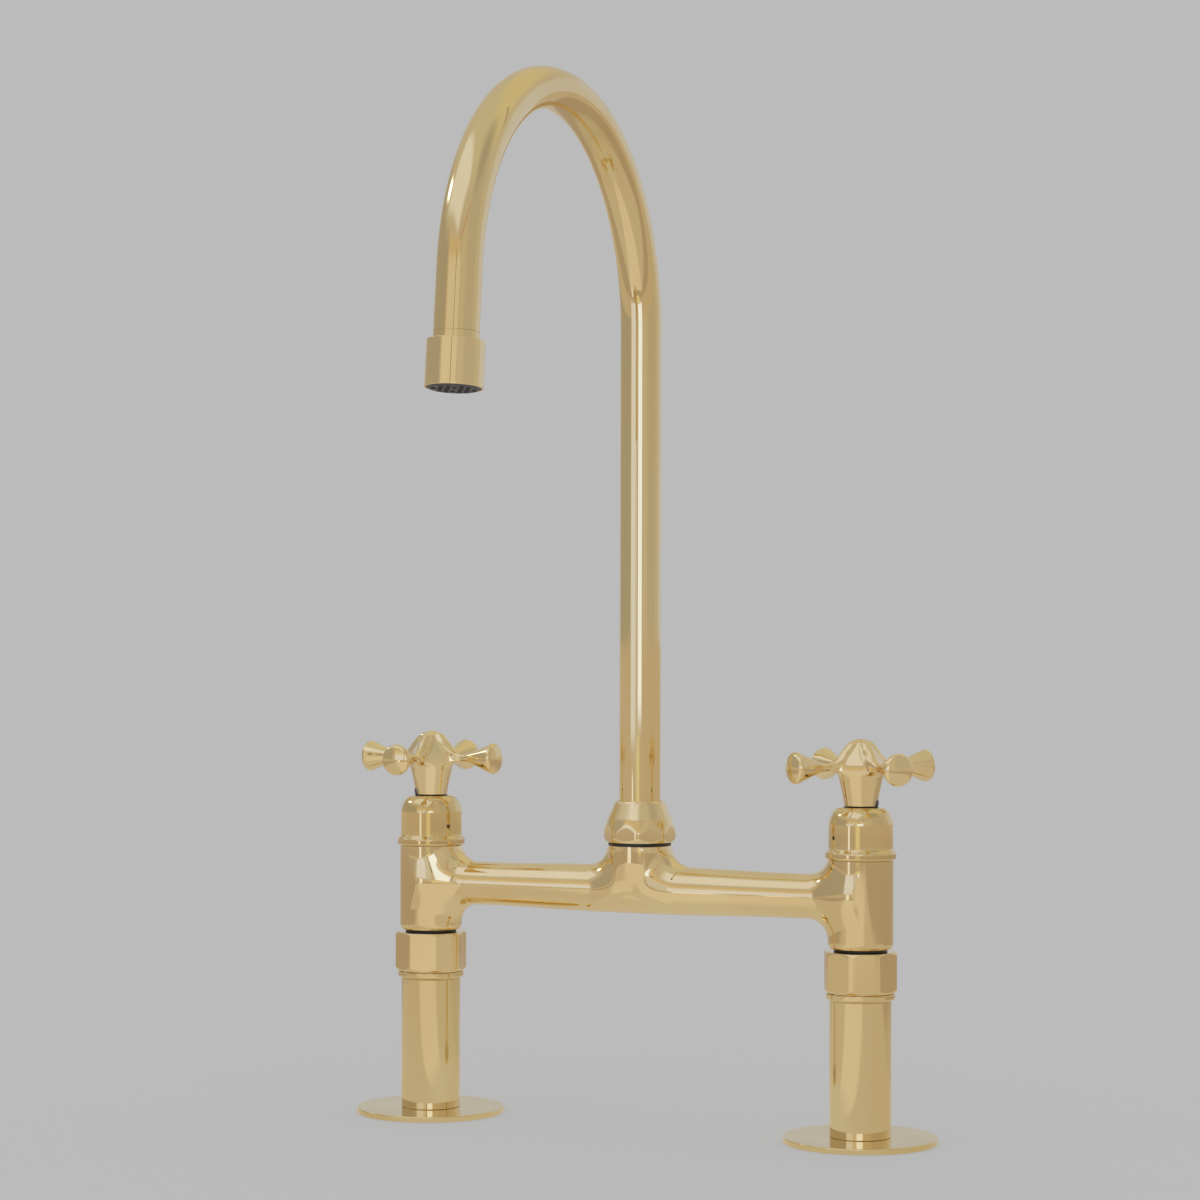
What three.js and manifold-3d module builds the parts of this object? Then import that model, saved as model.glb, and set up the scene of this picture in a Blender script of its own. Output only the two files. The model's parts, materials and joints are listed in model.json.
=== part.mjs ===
// A deck-mounted bridge kitchen faucet: two inlet columns joined by a cast bridge, a swan-neck spout
// that swivels on the middle of the bridge, and a quarter-turn cross handle on each column.
// Millimetres, +Z up, z = 0 at the deck. +X runs along the bridge and the spout points towards -Y.
import * as THREE from "three";
import { mergeVertices } from "three/addons/utils/BufferGeometryUtils.js";
import Module from "manifold-3d";

const wasm = await Module();
wasm.setup();

// ---- Driving dimensions --------------------------------------------------------------------------
const centres = 203.2; // between the two columns: 8 in
const axisSetback = 82.1; // columns and spout stand this far behind the middle of the footprint
const axisShift = 0.6; // and this far to the right of it, because only one handle has an arm sideways

const flangeRadius = 33;
const flangeThickness = 2.4;
const legRadius = 13.15;
const legBore = 10.95;
const legTop = 60.2;
const inletBore = 9.3; // minor radius of the G 1/2 female thread
const waterway = 7.5;

const nutFlats = 30; // across the flats of the octagonal union nut
const nutBottom = 63.6;
const nutTop = 81;
const leftNutTurn = 33; // degrees from the front at which a nut has a corner
const rightNutTurn = 2;

const barrelRadius = 13.8;
const barrelBottom = 82.4;
const barrelTop = 119.75;
const chamberBore = 11.1; // cartridge chamber inside the barrel
const chamberFloor = 92.5;

const bridgeHeight = 103.45; // axis of the bridge tube
const bridgeEndRadius = 9.6;
const bridgeMiddleRadius = 10.5;
const bridgeBore = 5.5;

const neckTop = 122.8;
const neckRadius = 13.7;
const neckThread = 12; // threaded collar that the spout nut screws on
const neckThreadTop = 131;
const socketBore = 10.6; // the spout's ferrule turns in it
const socketFloor = 112.6;

const bonnetBottom = 119.95;
const bonnetRadius = 13.65;
const bonnetTop = 142.15;

const spoutRadius = 9; // 18 mm tube
const spoutBore = 7.9;
const spoutBottom = 113.5;
const bendStart = 347.85; // top of the straight riser
const bendRadius = 91.4;
const bendAngle = 174.3; // degrees, so that the outlet leans 5.7 degrees outwards
const dropEnd = 331.3; // height at which the tube ends on its way down

const spoutNutBottom = 124.3;
const spoutNutTop = 142.1;
const spoutNutFlats = 29.5;
const spoutNutTurn = 20.5;

const hubBase = 142.5; // underside of a cross handle
const hubBore = 4.3;
const hubHeight = 28.8;
const armHeight = 17.1; // arm axis above the hub's underside
const armReach = 34.2; // from the handle's axis to the crown of an arm's end
const leftHandleTurn = -3.2; // degrees, arms as they stand with the valve closed
const rightHandleTurn = 48;

const fine = 18; // sides of the turned pieces that show
const coarse = 12; // sides of the turned pieces inside

const degrees = Math.PI / 180;

// ---- Materials -----------------------------------------------------------------------------------
const finish = (color, roughness, metalness) =>
  new THREE.MeshStandardMaterial({ color, roughness, metalness });
const polishedBrass = finish(0xd2b070, 0.1, 1);
const castBrass = finish(0xd6ae74, 0.12, 1);
const plainBrass = finish(0xb5904c, 0.4, 1);
const blackRubber = finish(0x15130f, 0.6, 0);
const blackNylon = finish(0x1c1b1a, 0.45, 0);
const whiteCeramic = finish(0xe9e6df, 0.25, 0);
const redFibre = finish(0x6b2c20, 0.8, 0);
const darkSteel = finish(0x3a3a3c, 0.35, 1);
const greyPlastic = finish(0x4a4a4f, 0.55, 0);

// ---- Shapes --------------------------------------------------------------------------------------
/** Turns a closed surface right side out, judged by the sign of its volume. */
function outward(geometry) {
  const p = geometry.attributes.position;
  const index = geometry.index.array;
  const [a, b, c] = [new THREE.Vector3(), new THREE.Vector3(), new THREE.Vector3()];
  let volume = 0;
  for (let i = 0; i < index.length; i += 3) {
    a.fromBufferAttribute(p, index[i]);
    b.fromBufferAttribute(p, index[i + 1]);
    c.fromBufferAttribute(p, index[i + 2]);
    volume += a.dot(b.cross(c));
  }
  if (volume < 0) {
    for (let i = 0; i < index.length; i += 3) [index[i], index[i + 1]] = [index[i + 1], index[i]];
  }
  return geometry;
}

/** Welds shared corners and drops the triangles that a pole or a seam folds to nothing. */
function weld(geometry) {
  geometry.deleteAttribute("normal");
  geometry.deleteAttribute("uv");
  const welded = mergeVertices(geometry, 1e-3);
  const index = welded.index.array;
  const kept = [];
  for (let i = 0; i < index.length; i += 3) {
    const [a, b, c] = [index[i], index[i + 1], index[i + 2]];
    if (a !== b && b !== c && c !== a) kept.push(a, b, c);
  }
  welded.setIndex(kept);
  return outward(welded);
}

/** Points [radius, height] along part of an ellipse; angles in degrees. */
function curve(r, z, halfWidth, halfHeight, from, to, steps) {
  return Array.from({ length: steps + 1 }, (_, i) => {
    const t = (from + ((to - from) * i) / steps) * degrees;
    return [r + halfWidth * Math.cos(t), z + halfHeight * Math.sin(t)];
  });
}

/** A profile of [radius, height] points turned about Z. It closes on itself, or ends on the axis. */
function turned(profile, sides) {
  const points = profile.map(([r, z]) => new THREE.Vector2(r, z));
  const onAxis = profile[0][0] === 0 && profile.at(-1)[0] === 0;
  if (!onAxis) points.push(points[0].clone());
  return weld(new THREE.LatheGeometry(points, sides).rotateX(Math.PI / 2));
}

/** A plain ring or sleeve. */
const sleeve = (inner, outer, bottom, top, sides = coarse) =>
  turned([[inner, bottom], [outer, bottom], [outer, top], [inner, top]], sides);

/** A plain round bar on the axis. */
const bar = (radius, bottom, top, sides = coarse) =>
  turned([[0, bottom], [radius, bottom], [radius, top], [0, top]], sides);

/** Skins a stack of equal rings of points. Loose ends get a fan, and a loop joins last to first. */
function loft(rings, loop = false) {
  const count = rings[0].length;
  const points = rings.flat();
  const index = [];
  const spans = loop ? rings.length : rings.length - 1;
  for (let i = 0; i < spans; i++) {
    const below = i * count;
    const above = ((i + 1) % rings.length) * count;
    for (let j = 0; j < count; j++) {
      const k = (j + 1) % count;
      index.push(below + j, below + k, above + k, below + j, above + k, above + j);
    }
  }
  if (!loop) {
    for (const [start, flip] of [[0, true], [(rings.length - 1) * count, false]]) {
      const middle = new THREE.Vector3();
      for (let j = 0; j < count; j++) middle.addScaledVector(points[start + j], 1 / count);
      points.push(middle);
      for (let j = 0; j < count; j++) {
        const [a, b] = [start + j, start + ((j + 1) % count)];
        index.push(...(flip ? [b, a] : [a, b]), points.length - 1);
      }
    }
  }
  const geometry = new THREE.BufferGeometry().setFromPoints(points);
  geometry.setIndex(index);
  return weld(geometry);
}

/** An eight-sided bar, given across its flats. */
function octagon(flats, bottom, top) {
  const corner = flats / 2 / Math.cos(22.5 * degrees);
  const outline = Array.from({ length: 8 }, (_, i) => {
    const t = i * 45 * degrees;
    return new THREE.Vector2(corner * Math.cos(t), corner * Math.sin(t));
  });
  const options = { depth: top - bottom, bevelEnabled: false };
  return weld(new THREE.ExtrudeGeometry(new THREE.Shape(outline), options).translate(0, 0, bottom));
}

function toSolid(geometry) {
  return new wasm.Manifold(new wasm.Mesh({
    numProp: 3,
    vertProperties: new Float32Array(geometry.attributes.position.array),
    triVerts: new Uint32Array(geometry.index.array),
  }));
}

function toGeometry(solid) {
  const mesh = solid.getMesh();
  const geometry = new THREE.BufferGeometry();
  geometry.setAttribute("position", new THREE.BufferAttribute(mesh.vertProperties, 3));
  geometry.setIndex(Array.from(mesh.triVerts));
  return geometry;
}

const join = (...shapes) => toGeometry(shapes.map(toSolid).reduce((a, b) => a.add(b)));
const cut = (shape, ...tools) =>
  toGeometry(tools.map(toSolid).reduce((a, b) => a.subtract(b), toSolid(shape)));
const overlap = (a, b) => toGeometry(toSolid(a).intersect(toSolid(b)));

function piece(name, geometry, material) {
  const mesh = new THREE.Mesh(geometry, material);
  mesh.name = name;
  return mesh;
}

// ---- Inlet column, from the deck to the bridge ---------------------------------------------------
const gasketInner = 13.6;
const gasketOuter = 30.4;
const gasketDepth = 1.1;
const bushRadius = 10.6;

function flange() {
  return turned([
    [bushRadius + 0.4, 0], [gasketInner - 0.2, 0], [gasketInner - 0.2, gasketDepth],
    [gasketOuter + 0.2, gasketDepth], [gasketOuter + 0.2, 0], [flangeRadius - 0.2, 0],
    [flangeRadius, 0.3], ...curve(flangeRadius - 0.5, flangeThickness - 0.5, 0.5, 0.5, 0, 90, 2),
    [bushRadius + 0.4, flangeThickness],
  ], 24);
}

const deckGasket = () => sleeve(gasketInner, gasketOuter, 0, gasketDepth - 0.1, 24);
const baseBush = () => sleeve(inletBore, bushRadius, 0, 16);

function legTube() {
  return turned([
    [legBore, flangeThickness + 0.05], [legRadius - 0.3, flangeThickness + 0.05],
    [legRadius, flangeThickness + 0.4], [legRadius, legTop - 0.05], [legBore, legTop - 0.05],
  ], fine);
}

/** Brazed into the leg: a bead that the nut stops against, and the male thread above it. */
function legAdaptor() {
  const beadRadius = 14.65;
  const threadRadius = 13.1;
  return turned([
    [waterway, 48], [bushRadius, 48], [bushRadius, legTop], [legRadius, legTop],
    ...curve(beadRadius - 1.3, 62, 1.3, 1.3, -60, 90, 3),
    [threadRadius, 63.4], [threadRadius, 71.8], [waterway, 71.8],
  ], fine);
}

/** Octagonal, with turned chamfers at both ends: threaded below, a lip above. */
function unionNut() {
  const chamfer = 1.1;
  const lipBore = 10.2;
  const lipBottom = 76.4;
  const corner = nutFlats / 2 / Math.cos(22.5 * degrees);
  const body = overlap(
    octagon(nutFlats, nutBottom, nutTop),
    turned([
      [0, nutBottom], [corner - chamfer, nutBottom], [corner, nutBottom + chamfer],
      [corner, nutTop - chamfer], [corner - chamfer, nutTop], [0, nutTop],
    ], 24),
  );
  return cut(body, bar(13.4, nutBottom - 1, lipBottom, 20), bar(lipBore, lipBottom - 1, nutTop + 1, 20));
}

const unionWasher = () => sleeve(6.6, 12.6, 71.9, 73.4);

/** Screwed into the barrel's foot. Its collar carries the union nut. */
function barrelTail() {
  return turned([
    [6.5, 73.5], [12.6, 73.5], [12.6, 76.2], [9.8, 76.2], [9.8, barrelBottom - 0.1],
    [8.9, barrelBottom - 0.1], [8.9, 90.5], [6.5, 90.5],
  ], coarse);
}

const threadRing = () => sleeve(10, 11.4, nutTop + 0.05, barrelBottom - 0.05, fine);

// ---- Bridge casting ------------------------------------------------------------------------------
/** The bridge tube swells from its ends to the middle. */
function bridgeRadius(x) {
  const share = Math.min(1, Math.abs(x) / 66);
  const swell = bridgeMiddleRadius - bridgeEndRadius;
  return bridgeEndRadius + swell * Math.cos((Math.PI / 2) * share ** 1.6) ** 2;
}

/** A closed ring in the plane X = x. Its upper and lower halves can have different heights. */
function crossRing(x, halfWidth, above, below, sides = 18) {
  return Array.from({ length: sides }, (_, i) => {
    const t = (i / sides) * 2 * Math.PI;
    const height = Math.sin(t) > 0 ? above : below;
    return new THREE.Vector3(x, halfWidth * Math.cos(t), bridgeHeight + height * Math.sin(t));
  });
}

function bridgeTube() {
  const reach = centres / 2;
  const stations = [-reach, -66, -46, -24, 0, 24, 46, 66, reach];
  return loft(stations.map((x) => {
    const r = bridgeRadius(x);
    return crossRing(x, r, r, r);
  }));
}

/** Where the tube meets a barrel it flares like a trumpet, more below than above. */
function barrelFlare(side) {
  const steps = 3;
  const start = 78.5; // the flare leaves the tube here
  const end = 90.5; // and is inside the barrel here
  const [growWidth, growAbove, growBelow] = [2.8, 7.2, 12.3];
  const rings = Array.from({ length: steps + 1 }, (_, i) => {
    const share = i / steps;
    const grow = 1 - Math.sqrt(1 - Math.min(0.995, share) ** 2); // a quarter round
    return crossRing(
      side * (start + (end - start) * share),
      bridgeEndRadius + growWidth * grow, bridgeEndRadius + growAbove * grow,
      bridgeEndRadius + growBelow * grow,
    );
  });
  return loft(rings);
}

/** The neck under the spout: round at its top, spread along the bridge and narrowed across it. */
function bridgeNeck() {
  const sides = 20;
  // [height, half length along the bridge, half width across it]
  const sections = [
    [bridgeHeight - 6, 22, 8.4], [bridgeHeight + 3, 21, 10.3], [bridgeHeight + 8, 20, 11.4],
    [113.8, 19.4, 11.9], [115.2, 17, 12.2], [116.9, 15.3, 12.6], [119.4, 14.4, 13.2],
    [neckTop, neckRadius, neckRadius],
  ];
  return loft(sections.map(([z, along, across]) => Array.from({ length: sides }, (_, i) => {
    const t = (i / sides) * 2 * Math.PI;
    return new THREE.Vector3(along * Math.cos(t), across * Math.sin(t), z);
  })));
}

function barrel(side) {
  return turned([
    [0, barrelBottom], ...curve(barrelRadius - 1.6, barrelBottom + 2.6, 1.6, 2.6, -70, 0, 2),
    [barrelRadius, barrelTop - 0.3], [barrelRadius - 0.3, barrelTop], [0, barrelTop],
  ], 22).translate(side * centres / 2, 0, 0);
}

/** What is bored out of one barrel: tail thread, inlet hole and cartridge chamber. */
function barrelBores(side) {
  return turned([
    [0, barrelBottom - 1], [9.2, barrelBottom - 1], [9.2, 90.8], [5.6, 90.8], [5.6, chamberFloor],
    [chamberBore, chamberFloor], [chamberBore, barrelTop + 1], [0, barrelTop + 1],
  ], coarse).translate(side * centres / 2, 0, 0);
}

function bridgeBody() {
  const waterPassage = bar(bridgeBore, -centres / 2, centres / 2, 12)
    .rotateY(Math.PI / 2).translate(0, 0, bridgeHeight);
  const socket = turned([
    [0, bridgeHeight], [7, bridgeHeight], [7, socketFloor], [socketBore, socketFloor],
    [socketBore, neckThreadTop + 1], [0, neckThreadTop + 1],
  ], 16);
  const casting = join(
    bridgeTube(), bridgeNeck(), bar(neckThread, neckTop - 2, neckThreadTop, fine),
    barrel(-1), barrel(1), barrelFlare(-1), barrelFlare(1),
  );
  return cut(casting, waterPassage, socket, barrelBores(-1), barrelBores(1));
}

// ---- Valve: bonnet, ceramic cartridge and cross handle -------------------------------------------
function bonnet() {
  const domeStart = 134.5;
  return turned([
    [12.95, bonnetBottom], ...curve(13.4, 121.85, 1.7, 1.8, -70, 60, 3),
    [bonnetRadius, 124.6],
    ...curve(8.5, domeStart, bonnetRadius - 8.5, bonnetTop - domeStart, 0, 80, 4),
    [7.7, bonnetTop], [7.7, 139.6], [10, 139.6], [12.05, 134.5], [12.05, 122.45], [12.95, 122.45],
  ], fine);
}

/** Brass cage that screws into the barrel and carries the discs, the spindle and the bonnet. */
function cartridgeBody() {
  const cage = turned([
    [7.7, 94.7], [8.8, 94.7], [8.8, 108], [10.8, 108], [10.8, 119.8], [12.6, 119.8], [12.6, 122.2],
    [11.75, 122.2], [11.75, 129.5], [7.2, 129.5], [7.2, 138.4], [4.1, 138.4], [4.1, 104], [7.7, 104],
  ], coarse);
  const window = new THREE.BoxGeometry(24, 7, 4.6).translate(0, 0, 100.9);
  return cut(cage, weld(window));
}

const cartridgeSeal = () => sleeve(5.7, 8.6, chamberFloor + 0.05, 94.6);

/** A disc with two opposite ports, each a sector of the space round its middle. */
function portedDisc(radius, bottom, top, portRadius) {
  const outline = new THREE.Shape().absarc(0, 0, radius, 0, 2 * Math.PI);
  for (const start of [-40, 140]) {
    const port = new THREE.Path();
    port.absarc(0, 0, portRadius, start * degrees, (start + 80) * degrees, false);
    port.absarc(0, 0, 2.2, (start + 80) * degrees, start * degrees, true);
    port.closePath();
    outline.holes.push(port);
  }
  const options = { depth: top - bottom, bevelEnabled: false, curveSegments: 3 };
  return weld(new THREE.ExtrudeGeometry(outline, options).translate(0, 0, bottom));
}

const fixedDisc = () => portedDisc(7.4, 94.65, 97, 5.6);
const movingDisc = () => portedDisc(7.3, 97.05, 99.4, 5.6);

/** A driving bar between the disc's ports, a stem with a seal groove, and a splined end. */
function spindle() {
  const stem = turned([
    [0, 100], [3.9, 100], [3.9, 125.6], [3, 125.6], [3, 128], [3.9, 128], [3.9, 143.5], [0, 143.5],
  ], coarse);
  const driver = new THREE.BoxGeometry(4.6, 13.6, 2.95).translate(0, 0, 100.93);
  const teeth = 8;
  const outline = Array.from({ length: 2 * teeth }, (_, i) => {
    const t = (i / (2 * teeth)) * 2 * Math.PI;
    const r = i % 2 ? 3.5 : 4.05;
    return new THREE.Vector2(r * Math.cos(t), r * Math.sin(t));
  });
  const options = { depth: 13.5, bevelEnabled: false };
  const spline = new THREE.ExtrudeGeometry(new THREE.Shape(outline), options).translate(0, 0, 142.5);
  return join(stem, weld(driver), weld(spline));
}

const spindleSeal = () => sleeve(3.2, 3.88, 125.7, 127.9);
const glideRing = () => sleeve(4.4, 7.4, 138.5, 142.3);

const screwHeight = hubBase + 2.1;
const screwRadius = 1.5;
const screwEnd = 8.7; // stands a little proud of the hub

/** Lies along +X: a cup-point grub screw with a hexagon socket in its outer end. */
function grubScrew() {
  const body = turned([
    [0, hubBore + 0.4], [0.8, hubBore + 0.4], [screwRadius, hubBore + 1.1],
    [screwRadius, screwEnd - 0.2], [screwRadius - 0.2, screwEnd], [0, screwEnd],
  ], 12);
  return cut(body, bar(0.75, screwEnd - 1.5, screwEnd + 1, 6)).rotateY(Math.PI / 2);
}

/** Hub section at a height above its underside: four ridges run out to the arms. */
function hubRing([height, ridge, valley, narrowness], sides = 24) {
  return Array.from({ length: sides }, (_, i) => {
    const t = (i / sides) * 2 * Math.PI;
    const lobe = ((1 + Math.cos(4 * t)) / 2) ** narrowness;
    const r = valley + (ridge - valley) * lobe;
    return new THREE.Vector3(r * Math.cos(t), r * Math.sin(t), hubBase + height);
  });
}

/** The hub: a cone below, a skirt that sweeps out into the arms, and a four-ridged crown above. */
function handleHub() {
  // [height, radius at a ridge, radius between ridges, narrowness of the ridges]
  const sections = [
    [0, 6.8, 6.8, 1], [7, 8.2, 8.2, 1], [11.5, 9.15, 9.1, 1], [13.6, 10.8, 9.4, 4],
    [15.3, 14.3, 9.7, 9], [17, 15.2, 8.9, 12], [19, 13.7, 7.2, 8], [21.4, 11.1, 5.6, 4],
    [24, 9, 3.9, 2.4], [26.8, 5.9, 2.4, 1.4], [hubHeight, 1.6, 1.4, 1],
  ];
  return loft(sections.map((section) => hubRing(section)));
}

/** One arm along +X: a thin waist that opens like a bell to a slightly domed end. */
function handleArm() {
  const rimRadius = 6.9;
  const rimStart = armReach - 1.6;
  return turned([
    [0, 11], [1.4, 11], [1.7, 18], [2.75, 21.7], [4.6, 26.6], [6.25, 30.4],
    [rimRadius, rimStart], [rimRadius - 0.3, armReach - 0.9], [0, armReach],
  ], 8).rotateY(Math.PI / 2).translate(0, 0, hubBase + armHeight);
}

function crossHandle() {
  const arms = [0, 90, 180, 270].map((turn) => handleArm().rotateZ(turn * degrees));
  const screwHole = bar(screwRadius + 0.12, hubBore - 1, 12, 12)
    .rotateY(Math.PI / 2).rotateZ(45 * degrees).translate(0, 0, screwHeight);
  return cut(join(handleHub(), ...arms), bar(hubBore, hubBase - 1, hubBase + 14.5), screwHole);
}

// ---- Spout ---------------------------------------------------------------------------------------
/**
 * Centre line in the plane X = 0, as [distance forward, height, direction in degrees from up]. The bend
 * takes this many steps to its top, and as many from there.
 */
function spoutLine(steps = 1) {
  const line = [[0, spoutBottom, 0]];
  for (let i = 0; i <= 2 * steps; i++) {
    const turn = i < steps ? (90 * i) / steps : 90 + ((bendAngle - 90) * (i - steps)) / steps;
    const t = turn * degrees;
    line.push([bendRadius * (1 - Math.cos(t)), bendStart + bendRadius * Math.sin(t), turn]);
  }
  const [forward, height] = line.at(-1);
  const down = (height - dropEnd) / -Math.cos(bendAngle * degrees);
  line.push([forward + down * Math.sin(bendAngle * degrees), dropEnd, bendAngle]);
  return line;
}

function spoutTube() {
  const sides = 12;
  const line = spoutLine(8);
  const ring = ([forward, height, turn], radius) => Array.from({ length: sides }, (_, i) => {
    const t = (i / sides) * 2 * Math.PI;
    const out = radius * Math.cos(t); // towards the outside of the bend
    return new THREE.Vector3(
      radius * Math.sin(t),
      -(forward - out * Math.cos(turn * degrees)),
      height + out * Math.sin(turn * degrees),
    );
  });
  const skin = line.map((place) => ring(place, spoutRadius));
  const bore = line.map((place) => ring(place, spoutBore)).reverse();
  return loft([...skin, ...bore], true);
}

const grooves = [115.4, 121.4]; // bottoms of the two seal grooves in the ferrule
const grooveHeight = 2.5;
const grooveFloor = 9.7;

/** Brazed to the tube's foot: turns in the socket, with a collar that the spout nut holds down. */
function spoutFerrule() {
  const outer = socketBore - 0.3; // turns freely also where the facets of the two don't line up
  return turned([
    [spoutRadius + 0.25, socketFloor + 0.6], [outer, socketFloor + 0.6],
    ...grooves.flatMap((z) => [
      [outer, z], [grooveFloor, z], [grooveFloor, z + grooveHeight], [outer, z + grooveHeight],
    ]),
    [outer, neckThreadTop + 0.15], [11.7, neckThreadTop + 0.15], [11.7, 133.3],
    [spoutRadius + 0.25, 133.3],
  ], 16);
}

const ferruleSeal = (bottom) =>
  sleeve(grooveFloor + 0.1, socketBore - 0.25, bottom + 0.1, bottom + grooveHeight - 0.1, 16);
const thrustWasher = () => sleeve(spoutRadius + 0.35, 11.6, 133.4, 134.1, 16);

/** A turned cone with eight wrench flats, each of which ends in an arch where it runs out. */
function spoutNut() {
  const slope = 24;
  const widest = 15.65;
  const shoulder = 128.6; // above this the side leans in
  const bend = 10.6;
  const cone = turned([
    [0, spoutNutBottom], ...curve(widest - 1.2, spoutNutBottom + 1.8, 1.2, 1.8, -90, 0, 2),
    ...curve(widest - bend, shoulder, bend, bend, 0, slope, 2),
    [10.95, spoutNutTop - 0.5], [10.4, spoutNutTop], [0, spoutNutTop],
  ], 24);
  const body = overlap(cone, octagon(spoutNutFlats, spoutNutBottom - 1, spoutNutTop + 1));
  return cut(body, bar(12.25, spoutNutBottom - 1, 134.2, 18), bar(9.35, 134, spoutNutTop + 1, 18));
}

const neckRing = () => sleeve(12.15, neckRadius - 0.05, neckTop + 0.05, spoutNutBottom - 0.05, fine);

// The outlet pieces are turned about the drop's own axis: 0 is the tube's end, and up is back along it.
const tipRing = 2.6;
const shellTop = -tipRing - 0.15;
const shellLength = 18.7;
const shellRadius = 11.45;

/** Brazed into the tube's end, with the male thread that the aerator screws on. */
function spoutTip() {
  return turned([
    [6.3, -11], [9.8, -11], [9.8, -tipRing], [spoutRadius, -tipRing], [spoutRadius, -0.05],
    [spoutBore - 0.35, -0.05], [spoutBore - 0.35, 7], [6.3, 7],
  ], fine);
}

function aeratorShell() {
  const bottom = shellTop - shellLength;
  return turned([
    [10, shellTop], ...curve(shellRadius - 1, shellTop - 1, 1, 1, 90, 0, 2),
    ...curve(shellRadius - 0.7, bottom + 0.7, 0.7, 0.7, 0, -90, 2),
    [10.6, bottom], [10.6, -15.2], [10, -15.2],
  ], fine);
}

/** Honeycomb outlet: rows of hexagonal openings through a disc, with its middle left whole. */
function aeratorInsert() {
  const pitch = 4.4;
  const cell = 1.8;
  const outline = new THREE.Shape().absarc(0, 0, 10.3, 0, 2 * Math.PI);
  for (let row = -2; row <= 2; row++) {
    for (let column = -2; column <= 2; column++) {
      const x = (column + (row % 2) / 2) * pitch;
      const y = row * pitch * Math.sin(60 * degrees);
      const distance = Math.hypot(x, y);
      if (distance < 1 || distance > 8) continue;
      const corners = Array.from({ length: 6 }, (_, i) => {
        const t = (30 + 60 * i) * degrees;
        return new THREE.Vector2(x + cell * Math.cos(t), y + cell * Math.sin(t));
      });
      outline.holes.push(new THREE.Path(corners));
    }
  }
  const depth = 6.6;
  const proud = 0.8;
  const options = { depth, bevelEnabled: false, curveSegments: 8 };
  return weld(new THREE.ExtrudeGeometry(outline, options).translate(0, 0, shellTop - shellLength - proud));
}

const aeratorWasher = () => sleeve(6.6, 9.7, -14.4, -11.1, 16);

// ---- Assembly ------------------------------------------------------------------------------------
function column(name, side, nutTurn, handleTurn) {
  const group = new THREE.Group();
  group.position.x = (side * centres) / 2;
  const nut = piece(`${name}_union_nut`, unionNut(), castBrass);
  nut.rotation.z = nutTurn * degrees;
  group.add(
    piece(`${name}_flange`, flange(), polishedBrass),
    piece(`${name}_deck_gasket`, deckGasket(), blackRubber),
    piece(`${name}_base_bush`, baseBush(), plainBrass),
    piece(`${name}_leg_tube`, legTube(), polishedBrass),
    piece(`${name}_leg_adaptor`, legAdaptor(), polishedBrass),
    nut,
    piece(`${name}_union_washer`, unionWasher(), redFibre),
    piece(`${name}_barrel_tail`, barrelTail(), plainBrass),
    piece(`${name}_thread_ring`, threadRing(), blackRubber),
    piece(`${name}_bonnet`, bonnet(), polishedBrass),
    piece(`${name}_cartridge_body`, cartridgeBody(), plainBrass),
    piece(`${name}_cartridge_seal`, cartridgeSeal(), blackRubber),
    piece(`${name}_fixed_disc`, fixedDisc(), whiteCeramic),
    piece(`${name}_glide_ring`, glideRing(), blackNylon),
  );
  const handle = new THREE.Group();
  handle.rotation.z = handleTurn * degrees;
  const screw = piece(`${name}_grub_screw`, grubScrew(), darkSteel);
  screw.position.z = screwHeight;
  screw.rotation.z = (side < 0 ? 225 : -45) * degrees;
  const cross = piece(`${name}_handle`, crossHandle(), castBrass);
  cross.rotation.z = (side < 0 ? 180 : -90) * degrees;
  const valveStem = piece(`${name}_spindle`, spindle(), plainBrass);
  const upperDisc = piece(`${name}_moving_disc`, movingDisc(), whiteCeramic);
  for (const turning of [valveStem, upperDisc]) {
    turning.rotation.z = (90 - handleTurn) * degrees; // ports across those of the fixed disc: closed
  }
  handle.add(cross, screw, valveStem, upperDisc);
  handle.add(piece(`${name}_spindle_seal`, spindleSeal(), blackRubber));
  group.add(handle);
  return group;
}

function spout() {
  const group = new THREE.Group();
  group.add(
    piece("spout_tube", spoutTube(), polishedBrass),
    piece("spout_ferrule", spoutFerrule(), plainBrass),
    piece("ferrule_seal_lower", ferruleSeal(grooves[0]), blackRubber),
    piece("ferrule_seal_upper", ferruleSeal(grooves[1]), blackRubber),
    piece("thrust_washer", thrustWasher(), blackNylon),
  );
  const [forward, height, turn] = spoutLine().at(-1);
  const outlet = new THREE.Group();
  outlet.position.set(0, -forward, height);
  outlet.rotation.x = (turn - 180) * degrees;
  outlet.add(
    piece("spout_tip", spoutTip(), polishedBrass),
    piece("aerator_shell", aeratorShell(), castBrass),
    piece("aerator_insert", aeratorInsert(), greyPlastic),
    piece("aerator_washer", aeratorWasher(), blackRubber),
  );
  group.add(outlet);
  return group;
}

const faucet = new THREE.Group();
faucet.position.set(axisShift, axisSetback, 0);
const crownNut = piece("spout_nut", spoutNut(), castBrass);
crownNut.rotation.z = spoutNutTurn * degrees;
faucet.add(
  piece("bridge_body", bridgeBody(), castBrass),
  piece("neck_ring", neckRing(), blackRubber),
  crownNut,
  spout(),
  column("left", -1, leftNutTurn, leftHandleTurn),
  column("right", 1, rightNutTurn, rightHandleTurn),
);

export default faucet;
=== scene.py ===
# %% [markdown]
# # A bridge kitchen faucet in polished brass
#
# The real tap is turned, bent and cast brass, polished like a mirror. A mirror shows every small error of its
# surface, so each visible piece is made here with smooth, dense meshes: turned pieces are spun from a profile,
# the spout is a ring swept round its bend, the wrench flats are milled into turned blanks, and the two castings
# are rough blocks that are shrunk onto an exact rounded form.
#
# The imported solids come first. They give the places and sizes, and all the hidden pieces stay as they are.

import json
import math

import bpy
import numpy as np
from mathutils import Matrix, Vector


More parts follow.
